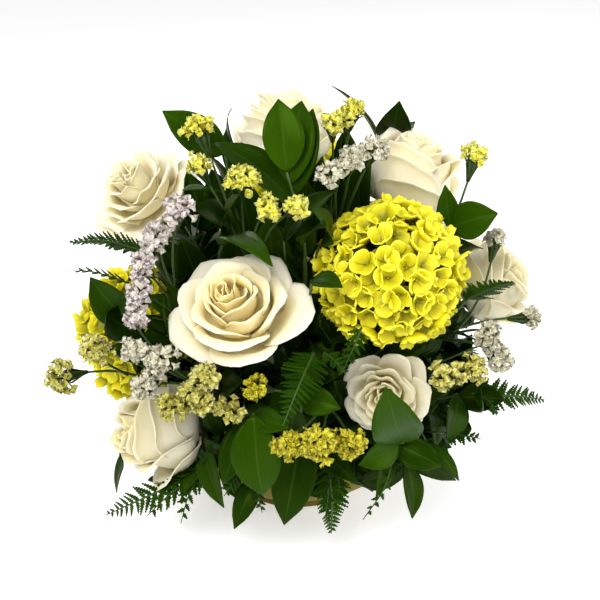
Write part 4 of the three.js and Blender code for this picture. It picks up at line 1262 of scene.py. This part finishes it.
class Finish:
    """A procedural material: adds nodes and joins them to the shader."""

    def __init__(self, name, roughness):
        self.material = bpy.data.materials.new(name)
        self.material.use_nodes = True
        self.nodes = self.material.node_tree.nodes
        self.links = self.material.node_tree.links
        self.shader = self.nodes["Principled BSDF"]
        self.shader.inputs["Roughness"].default_value = roughness

    def node(self, kind, **values):
        node = self.nodes.new(kind)
        for key, value in values.items():
            setattr(node, key, value)
        return node

    def join(self, out, into):
        self.links.new(out, into)

    def tone(self):
        return self.node("ShaderNodeAttribute", attribute_name="tone").outputs["Fac"]

    def place(self):
        """Where on the blade a point is: across it, and along it."""
        parts = self.node("ShaderNodeSeparateXYZ")
        self.join(self.node("ShaderNodeUVMap").outputs["UV"], parts.inputs["Vector"])
        return parts.outputs["X"], parts.outputs["Y"]

    def maths(self, kind, a, b=0.0):
        node = self.node("ShaderNodeMath", operation=kind)
        for socket, value in zip(node.inputs, (a, b)):
            if isinstance(value, (int, float)):
                socket.default_value = value
            else:
                self.join(value, socket)
        return node.outputs[0]

    def patchy_tone(self, scale, amount):
        """The mesh's own tone, made paler and deeper in patches."""
        patches = self.maths("MULTIPLY", self.maths("SUBTRACT", self.noise(scale), 0.5), amount)
        return self.maths("ADD", self.tone(), patches)

    def noise(self, scale, detail=2.0, stretch=None):
        node = self.node("ShaderNodeTexNoise")
        node.inputs["Scale"].default_value = scale
        node.inputs["Detail"].default_value = detail
        coordinates = self.node("ShaderNodeTexCoord").outputs["UV" if stretch else "Object"]
        if stretch:
            mapping = self.node("ShaderNodeMapping")
            mapping.inputs["Scale"].default_value = stretch
            self.join(coordinates, mapping.inputs["Vector"])
            coordinates = mapping.outputs["Vector"]
        self.join(coordinates, node.inputs["Vector"])
        return node.outputs["Fac"]

    def ramp(self, factor, *stops):
        node = self.node("ShaderNodeValToRGB")
        elements = node.color_ramp.elements
        while len(elements) < len(stops):
            elements.new(0.5)
        for element, (at, colour) in zip(elements, stops):
            element.position = at
            element.color = (*colour[:3], 1)
        self.join(factor, node.inputs["Fac"])
        return node.outputs["Color"]

    def blend(self, factor, a, b, kind="MIX"):
        node = self.node("ShaderNodeMix", data_type="RGBA", blend_type=kind)
        sockets = (node.inputs["Factor"], node.inputs[6], node.inputs[7])
        for socket, value in zip(sockets, (factor, a, b)):
            if isinstance(value, (int, float)):
                socket.default_value = value
            elif isinstance(value, tuple):
                socket.default_value = (*value[:3], 1)
            else:
                self.join(value, socket)
        return node.outputs[2]

    def shaded(self, body, share, pattern, deepest, shade, lightest):
        """The body with a share of the shade where the pattern is low, and none where it is high."""
        mask = self.ramp(pattern, (deepest, shade), (lightest, WHITE))
        return self.blend(share, body, mask, "MULTIPLY")

    def colour(self, value):
        self.join(value, self.shader.inputs["Base Color"])

    def bump(self, height, strength, distance):
        node = self.node("ShaderNodeBump")
        node.inputs["Strength"].default_value = strength
        node.inputs["Distance"].default_value = distance
        self.join(height, node.inputs["Height"])
        self.join(node.outputs["Normal"], self.shader.inputs["Normal"])

    def soften(self, weight, scale, radius):
        """Light that passes into a thin living petal or leaf."""
        self.shader.inputs["Subsurface Weight"].default_value = weight
        self.shader.inputs["Subsurface Scale"].default_value = scale
        self.shader.inputs["Subsurface Radius"].default_value = radius

    def set(self, **values):
        for key, value in values.items():
            self.shader.inputs[key.replace("_", " ")].default_value = value


def petal_finish(name, settings, share=1.0):
    """Soft cream, apricot in the heart, green at the petal's foot, with fine lengthwise veins; a share below
    1 darkens every colour as painted shade.
    """
    made = Finish(name, 0.5)
    heart, petal, rim = (scaled(colour, share) for colour in (settings.heart, settings.petal, settings.rim))
    _, along = made.place()
    tone = made.patchy_tone(35, 0.25)
    body = made.ramp(tone, (0.0, heart), (0.30, mixed(heart, petal, 0.45)), (0.62, petal), (1.0, rim))
    foot = made.ramp(along, (0.0, WHITE), (0.34, BLACK))
    body = made.blend(made.maths("MULTIPLY", foot, 0.6), body, (0.86, 0.84, 0.46))
    veins = made.noise(6.0, 4.0, (26.0, 1.4, 1.0))
    made.colour(made.shaded(body, 0.22, veins, 0.35, (0.90, 0.85, 0.74), 0.62))
    crumple = made.maths("MULTIPLY", made.noise(110, 3.0), 0.8)
    made.bump(made.maths("ADD", veins, crumple), 0.3, 0.0008)
    made.soften(0.4, 0.004, (1.0, 0.84, 0.45))
    made.set(Sheen_Weight=0.12, Sheen_Roughness=0.4, Specular_IOR_Level=0.35)
    return made.material


def hydrangea_finish(settings):
    """Bright yellow-green petals, olive in the eye and paler at their edges."""
    made = Finish("chartreuse_petal_finish", 0.55)
    body = made.ramp(
        made.patchy_tone(60, 0.3), (0.0, settings.eye), (0.22, mixed(settings.eye, settings.petal, 0.5)),
        (0.5, settings.petal), (0.95, settings.edge),
    )
    veins = made.noise(5.0, 4.0, (14.0, 2.0, 1.0))
    made.colour(made.shaded(body, 0.3, veins, 0.35, (0.72, 0.74, 0.5), 0.6))
    made.bump(veins, 0.3, 0.0005)
    made.soften(0.22, 0.002, (1.0, 0.8, 0.1))
    made.set(Specular_IOR_Level=0.3)
    return made.material


def leaf_finish(name, dark, light, roughness, veins):
    """A leaf whose veins run from foot to tip, with a paler midrib and light patches."""
    made = Finish(name, roughness)
    across, _ = made.place()
    centred = made.maths("ABSOLUTE", made.maths("SUBTRACT", across, 0.5))
    lines = made.maths("SINE", made.maths("MULTIPLY", across, 2 * math.pi * veins))
    midrib = made.ramp(centred, (0.0, WHITE), (0.035, BLACK))
    mottle = made.noise(45, 3.0)
    tone = made.maths("ADD", made.maths("MULTIPLY", made.tone(), 0.75), made.maths("MULTIPLY", mottle, 0.35))
    body = made.ramp(tone, (0.15, dark), (0.95, light))
    body = made.shaded(body, 0.16, lines, 0.0, (0.78, 0.82, 0.78), 1.0)
    paler = scaled(mixed(light, (0.3, 0.5, 0.10), 0.2), 0.75)
    made.colour(made.blend(made.maths("MULTIPLY", midrib, 0.3), body, paler))
    made.bump(made.maths("ADD", lines, made.maths("MULTIPLY", mottle, 0.6)), 0.08, 0.0003)
    made.soften(0.08, 0.002, (0.3, 1.0, 0.1))
    made.set(Specular_IOR_Level=0.14, Specular_Tint=(0.5, 0.9, 0.1, 1))
    return made.material


def stem_finish(settings):
    """Green stem, paler in places, with lengthwise ribs."""
    made = Finish("green_stem_finish", 0.55)
    across, _ = made.place()
    mottle = made.noise(60, 3.0)
    tone = made.maths("ADD", made.maths("MULTIPLY", made.tone(), 0.7), made.maths("MULTIPLY", mottle, 0.4))
    pale = tuple(min(1, 2.0 * c) for c in settings.stem)
    made.colour(made.ramp(tone, (0.2, settings.stem), (0.9, pale)))
    ribs = made.maths("SINE", made.maths("MULTIPLY", across, 2 * math.pi * STEM_RIBS))
    made.bump(made.maths("ADD", ribs, mottle), 0.3, 0.0004)
    return made.material


def papery_finish(name, deep, body, tip):
    """Dry papery cups, with painted shade in the throat, and pale at the frill."""
    made = Finish(name, 0.75)
    across, _ = made.place()
    colour = made.ramp(made.patchy_tone(90, 0.5), (0.05, deep), (0.5, body), (1.0, tip))
    pleats = made.maths("SINE", made.maths("MULTIPLY", across, 2 * math.pi * CUP_PLEATS))
    made.colour(made.shaded(colour, 0.3, pleats, 0.0, (0.86, 0.86, 0.83), 1.0))
    made.bump(pleats, 0.35, 0.0003)
    made.soften(0.15, 0.0015, (1.0, 0.8, 0.5))
    return made.material


def glaze_finish(settings):
    """Olive-yellow glaze that thins to brown at the rim and the foot."""
    made = Finish("olive_glaze_finish", 0.5)
    _, along = made.place()
    pools = made.noise(14, 4.0)
    speckle = made.noise(420, 2.0)
    body = made.ramp(pools, (0.3, scaled(settings.glaze, 0.7)), (0.7, settings.glaze))
    thin = made.ramp(along, (0.08, WHITE), (0.2, BLACK), (0.47, BLACK), (0.52, WHITE), (0.6, BLACK))
    body = made.blend(made.maths("MULTIPLY", thin, 0.4), body, (0.14, 0.085, 0.012))
    made.colour(made.shaded(body, 0.35, speckle, 0.30, (0.45, 0.38, 0.25), 0.42))
    made.bump(pools, 0.12, 0.002)
    made.set(Specular_IOR_Level=0.1)
    return made.material


def foam_finish(settings):
    """Dull green open-cell foam, crumbled at the surface."""
    made = Finish("foam_finish", 0.95)
    cells = made.noise(900, 3.0)
    crumbs = made.noise(160, 4.0)
    made.colour(made.ramp(cells, (0.35, scaled(settings.foam, 0.45)), (0.65, settings.foam)))
    made.bump(made.maths("ADD", cells, crumbs), 0.7, 0.002)
    return made.material


def floor_finish(settings):
    """Plain pale floor."""
    made = Finish("pale_floor_finish", 0.8)
    made.colour(made.ramp(made.noise(3.0), (0.0, scaled(settings.floor, 0.99)), (1.0, settings.floor)))
    made.set(Emission_Color=(1, 1, 1, 1), Emission_Strength=settings.floor_glow)
    return made.material


FINISHES = {}


def all_finishes():
    """Makes every finish once, when the first piece asks for it."""
    if not FINISHES:
        scene = bpy.context.scene
        leaves, paper = scene.centerpiece_foliage, scene.centerpiece_statice
        FINISHES.update(
            petal=petal_finish("cream_petal_finish", scene.centerpiece_roses),
            # A darker copy of the cream finish for the low roses: painted shade.
            low_petal=petal_finish("shaded_cream_petal_finish", scene.centerpiece_roses, LOW_ROSE_PAINTED_SHADE),
            hydrangea=hydrangea_finish(scene.centerpiece_hydrangeas),
            ruscus=leaf_finish("ruscus_finish", leaves.ruscus_dark, leaves.ruscus_light, 0.36, RUSCUS_VEINS),
            fern=leaf_finish("fern_finish", leaves.fern_dark, leaves.fern_light, 0.5, FERN_VEINS),
            stem=stem_finish(leaves),
            yellow=papery_finish("lemon_statice_finish", paper.lemon_throat_shade, paper.lemon, paper.lemon_tip),
            golden=papery_finish("golden_statice_finish", paper.lemon_throat_shade, paper.golden, paper.golden_tip),
            pale=papery_finish("pale_lemon_statice_finish", paper.pale_throat_shade, paper.pale, paper.pale_tip),
            white=papery_finish(
                "lavender_statice_finish", paper.white_throat_shade, paper.lavender, paper.lavender_tip
            ),
            creamy=papery_finish("creamy_statice_finish", paper.white_throat_shade, paper.cream, paper.cream_tip),
            glaze=glaze_finish(scene.centerpiece_bowl),
            foam=foam_finish(scene.centerpiece_bowl),
        )
    return FINISHES


# ---- what a user would change ----


def colour_property(name, description, default):
    return FloatVectorProperty(
        name=name, description=description, default=default, size=3, min=0.0, max=1.0, subtype="COLOR"
    )


class RoseSettings(bpy.types.PropertyGroup):
    """Sizes and colours of the rose petals"""

    petal_thickness: FloatProperty(
        name="Petal thickness", description="Thickness of a petal", default=0.0005, unit="LENGTH"
    )
    ruffle: FloatProperty(
        name="Ruffle", description="How far a rim waves, as a share of the bloom's radius",
        default=0.022, subtype="FACTOR",
    )
    heart: colour_property("Heart", "Apricot of the innermost petals", (1.0, 0.78, 0.25))
    petal: colour_property("Petal", "Cream of the middle petals", (0.96, 0.85, 0.51))
    rim: colour_property("Rim", "Ivory of the outer petals and rims", (0.94, 0.865, 0.635))


class HydrangeaSettings(bpy.types.PropertyGroup):
    """Sizes and colours of the hydrangea florets"""

    petal_thickness: FloatProperty(
        name="Petal thickness", description="Thickness of a floret's petal", default=0.0005, unit="LENGTH"
    )
    eye: colour_property("Eye", "Olive of a floret's middle", (0.28, 0.27, 0.005))
    petal: colour_property("Petal", "Yellow-green of the petals", (0.72, 0.63, 0.001))
    edge: colour_property("Edge", "Paler yellow of the petals' edges", (0.93, 0.87, 0.055))


class FoliageSettings(bpy.types.PropertyGroup):
    """Sizes and colours of leaves, fern and stems"""

    leaf_thickness: FloatProperty(
        name="Leaf thickness", description="Thickness of a leaf", default=0.0005, unit="LENGTH"
    )
    fern_pairs: IntProperty(
        name="Fern leaflets", description="Pairs of leaflets on a fern frond", default=17, min=6, max=24
    )
    filler_stems: IntProperty(
        name="Filler stems", description="Leafy stems between the flowers", default=110, min=0, max=300
    )
    ruscus_dark: colour_property("Ruscus, dark", "Darkest ruscus leaf", (0.003, 0.011, 0.0004))
    ruscus_light: colour_property("Ruscus, light", "Lightest ruscus leaf", (0.019, 0.055, 0.0003))
    fern_dark: colour_property("Fern, dark", "Darkest fern leaflet", (0.003, 0.013, 0.0005))
    fern_light: colour_property("Fern, light", "Lightest fern leaflet", (0.016, 0.053, 0.001))
    stem: colour_property("Stem", "Green of the stems", (0.016, 0.040, 0.001))


class StaticeSettings(bpy.types.PropertyGroup):
    """Sizes and colours of the statice cups"""

    cup_size: FloatProperty(
        name="Cup size", description="Height of one papery cup", default=0.0046, unit="LENGTH"
    )
    # Painted shade in the throat of a yellow cup.
    lemon_throat_shade: colour_property("Lemon, throat", "Throat of a yellow cup", (0.28, 0.25, 0.006))
    lemon: colour_property("Lemon", "Body of a yellow cup", (0.92, 0.85, 0.025))
    lemon_tip: colour_property("Lemon, frill", "Frill of a yellow cup", (0.96, 0.93, 0.20))
    golden: colour_property("Golden", "Body of a deep yellow cup", (0.68, 0.59, 0.006))
    golden_tip: colour_property("Golden, frill", "Frill of a deep yellow cup", (0.90, 0.83, 0.05))
    # Painted shade in the throat of a pale yellow cup.
    pale_throat_shade: colour_property("Pale lemon, throat", "Throat of a pale yellow cup", (0.30, 0.29, 0.04))
    pale: colour_property("Pale lemon", "Body of a pale yellow cup", (0.74, 0.67, 0.11))
    pale_tip: colour_property("Pale lemon, frill", "Frill of a pale yellow cup", (0.94, 0.90, 0.36))
    # Painted shade in the throat of a pale cup, lavender or creamy.
    white_throat_shade: colour_property("Lavender, throat", "Throat of a pale cup", (0.43, 0.40, 0.29))
    lavender: colour_property("Lavender", "Body of a pale cup", (0.74, 0.63, 0.57))
    lavender_tip: colour_property("Lavender, frill", "Frill of a pale cup", (0.95, 0.87, 0.83))
    cream: colour_property("Cream", "Body of a creamy cup", (0.74, 0.69, 0.47))
    cream_tip: colour_property("Cream, frill", "Frill of a creamy cup", (0.95, 0.92, 0.74))


class BowlSettings(bpy.types.PropertyGroup):
    """Bowl and foam"""

    facets: IntProperty(
        name="Facets", description="Facets round the bowl", default=96, min=24, max=256
    )
    glaze: colour_property("Glaze", "Olive-yellow of the glaze", (0.17, 0.14, 0.012))
    foam: colour_property("Foam", "Green of the foam", (0.035, 0.075, 0.025))


class StageSettings(bpy.types.PropertyGroup):
    """Floor, lights and camera"""

    floor: colour_property("Floor", "Pale floor", (0.90, 0.90, 0.90))
    floor_glow: FloatProperty(
        name="Floor glow", description="Light that the floor gives off like a lit sweep", default=0.5
    )
    elevation: FloatProperty(
        name="Camera elevation", description="Camera's angle above the table",
        default=math.radians(22), subtype="ANGLE",
    )
    distance: FloatProperty(
        name="Camera distance", description="From the camera to its target", default=0.9, unit="LENGTH"
    )
    lens: FloatProperty(
        name="Lens", description="Focal length in millimetres", default=77.1, unit="CAMERA"
    )
    target: FloatVectorProperty(
        name="Target", description="The point that the camera looks at", default=(0.002, 0.0, 0.140),
        subtype="XYZ",
    )
    key_power: FloatProperty(
        name="Key light", description="Power of the large front light in watts", default=27.0
    )
    fill_power: FloatProperty(
        name="Fill light", description="Power of each side light in watts", default=11.0
    )
    sky: FloatProperty(
        name="Sky", description="Strength of the even white surround", default=0.42
    )


# ---- operators ----

# The floor's side, the middle that the lights face and the lights' width, in metres; and the
# camera's sensor width in millimetres.
FLOOR_SIDE, LIGHT_TARGET, LIGHT_WIDTH = 30, (0, 0, 0.14), 0.9
SENSOR_WIDTH = 36


class CENTERPIECE_OT_bowl(bpy.types.Operator):
    """Make the glazed bowl and the foam block"""

    bl_idname = "centerpiece.bowl"
    bl_label = "Bowl and foam"

    def execute(self, context):
        make_bowl(context.scene.centerpiece_bowl, all_finishes())
        make_foam(all_finishes())
        return {"FINISHED"}


class CENTERPIECE_OT_roses(bpy.types.Operator):
    """Make the roses with their stems and sepals"""

    bl_idname = "centerpiece.roses"
    bl_label = "Roses"

    def execute(self, context):
        for name, rose in ROSES.items():
            make_rose(name, rose, context.scene.centerpiece_roses, all_finishes())
        return {"FINISHED"}


class CENTERPIECE_OT_hydrangeas(bpy.types.Operator):
    """Make the hydrangea heads and stems"""

    bl_idname = "centerpiece.hydrangeas"
    bl_label = "Hydrangeas"

    def execute(self, context):
        for name, hydrangea in HYDRANGEAS.items():
            make_hydrangea(name, hydrangea, context.scene.centerpiece_hydrangeas, all_finishes())
        return {"FINISHED"}


class CENTERPIECE_OT_ruscus(bpy.types.Operator):
    """Make the ruscus stems and leaves"""

    bl_idname = "centerpiece.ruscus"
    bl_label = "Ruscus"

    def execute(self, context):
        for name, stem in RUSCUS.items():
            make_ruscus(name, stem, context.scene.centerpiece_foliage, all_finishes())
        return {"FINISHED"}


class CENTERPIECE_OT_ferns(bpy.types.Operator):
    """Make the fern fronds"""

    bl_idname = "centerpiece.ferns"
    bl_label = "Ferns"

    def execute(self, context):
        for name, fern in FERNS.items():
            make_fern(name, fern, context.scene.centerpiece_foliage, all_finishes())
        return {"FINISHED"}


class CENTERPIECE_OT_statice(bpy.types.Operator):
    """Make the yellow and the lavender-white statice"""

    bl_idname = "centerpiece.statice"
    bl_label = "Statice"

    def execute(self, context):
        settings = context.scene.centerpiece_statice
        for name, spray in YELLOW_STATICE.items():
            make_statice("yellow", name, spray, settings, all_finishes())
        for name, spray in WHITE_STATICE.items():
            make_statice("white", name, spray, settings, all_finishes())
        return {"FINISHED"}


class CENTERPIECE_OT_filler(bpy.types.Operator):
    """Fill the gaps between the flowers with leafy stems"""

    bl_idname = "centerpiece.filler"
    bl_label = "Filler greens"

    def execute(self, context):
        make_filler(context.scene.centerpiece_foliage, all_finishes())
        return {"FINISHED"}


class CENTERPIECE_OT_stage(bpy.types.Operator):
    """Set up the floor, the lights and the camera"""

    bl_idname = "centerpiece.stage"
    bl_label = "Stage"

    def execute(self, context):
        scene, settings = context.scene, context.scene.centerpiece_stage
        bpy.ops.mesh.primitive_plane_add(size=FLOOR_SIDE, location=(0, 0, 0))
        floor = context.object
        floor.name = "pale_floor"
        floor.data.materials.append(floor_finish(settings))

        world = bpy.data.worlds.new("soft_surround")
        scene.world = world
        world.use_nodes = True
        sky = world.node_tree.nodes["Background"]
        sky.inputs["Color"].default_value = (1, 1, 1, 1)
        sky.inputs["Strength"].default_value = settings.sky
        scene.view_settings.view_transform = "Standard"

        lights = (
            ("key", (-0.45, -1.15, 1.35), settings.key_power),
            ("fill_right", (1.2, -0.5, 0.7), settings.fill_power),
            ("fill_back", (-0.6, 1.2, 0.9), settings.fill_power),
        )
        for name, place, power in lights:
            lamp = bpy.data.lights.new(name, "AREA")
            lamp.size, lamp.energy = LIGHT_WIDTH, power
            light = bpy.data.objects.new(name, lamp)
            light.location = place
            aim_at(light, LIGHT_TARGET)
            scene.collection.objects.link(light)

        camera = bpy.data.objects.new("camera", bpy.data.cameras.new("camera"))
        camera.data.lens = settings.lens
        camera.data.sensor_width = SENSOR_WIDTH
        target = np.array(settings.target)
        lift = settings.elevation
        camera.location = target + settings.distance * np.array([0, -math.cos(lift), math.sin(lift)])
        aim_at(camera, target)
        scene.collection.objects.link(camera)
        scene.camera = camera
        return {"FINISHED"}


def aim_at(thing, target):
    """Turns a light or camera so that it looks at a point."""
    way = thing.location.copy()
    way.xyz = [t - p for t, p in zip(target, thing.location)]
    thing.rotation_euler = way.to_track_quat("-Z", "Y").to_euler()


class CENTERPIECE_PT_sidebar(bpy.types.Panel):
    """Lists the pieces that can be made and their sizes and colours"""

    bl_label = "Floral centerpiece"
    bl_idname = "CENTERPIECE_PT_sidebar"
    bl_space_type = "VIEW_3D"
    bl_region_type = "UI"
    bl_category = "Centerpiece"

    def draw(self, context):
        for operator in OPERATORS:
            self.layout.operator(operator.bl_idname)
        for name, group in SETTINGS.items():
            box = self.layout.box()
            box.label(text=group.__doc__)
            for field in group.__annotations__:
                box.prop(getattr(context.scene, name), field)


SETTINGS = {
    "centerpiece_bowl": BowlSettings,
    "centerpiece_roses": RoseSettings,
    "centerpiece_hydrangeas": HydrangeaSettings,
    "centerpiece_foliage": FoliageSettings,
    "centerpiece_statice": StaticeSettings,
    "centerpiece_stage": StageSettings,
}
OPERATORS = (
    CENTERPIECE_OT_bowl,
    CENTERPIECE_OT_roses,
    CENTERPIECE_OT_hydrangeas,
    CENTERPIECE_OT_ruscus,
    CENTERPIECE_OT_ferns,
    CENTERPIECE_OT_statice,
    CENTERPIECE_OT_filler,
    CENTERPIECE_OT_stage,
)


def register():
    for name, group in SETTINGS.items():
        bpy.utils.register_class(group)
        setattr(bpy.types.Scene, name, PointerProperty(type=group))
    for operator in OPERATORS:
        bpy.utils.register_class(operator)
    bpy.utils.register_class(CENTERPIECE_PT_sidebar)


def unregister():
    bpy.utils.unregister_class(CENTERPIECE_PT_sidebar)
    for operator in reversed(OPERATORS):
        bpy.utils.unregister_class(operator)
    for name, group in SETTINGS.items():
        delattr(bpy.types.Scene, name)
        bpy.utils.unregister_class(group)


def main():
    register()
    bpy.ops.centerpiece.bowl()
    bpy.ops.centerpiece.roses()
    bpy.ops.centerpiece.hydrangeas()
    bpy.ops.centerpiece.ruscus()
    bpy.ops.centerpiece.ferns()
    bpy.ops.centerpiece.statice()
    bpy.ops.centerpiece.filler()
    bpy.ops.centerpiece.stage()


if __name__ == "__main__":
    main()
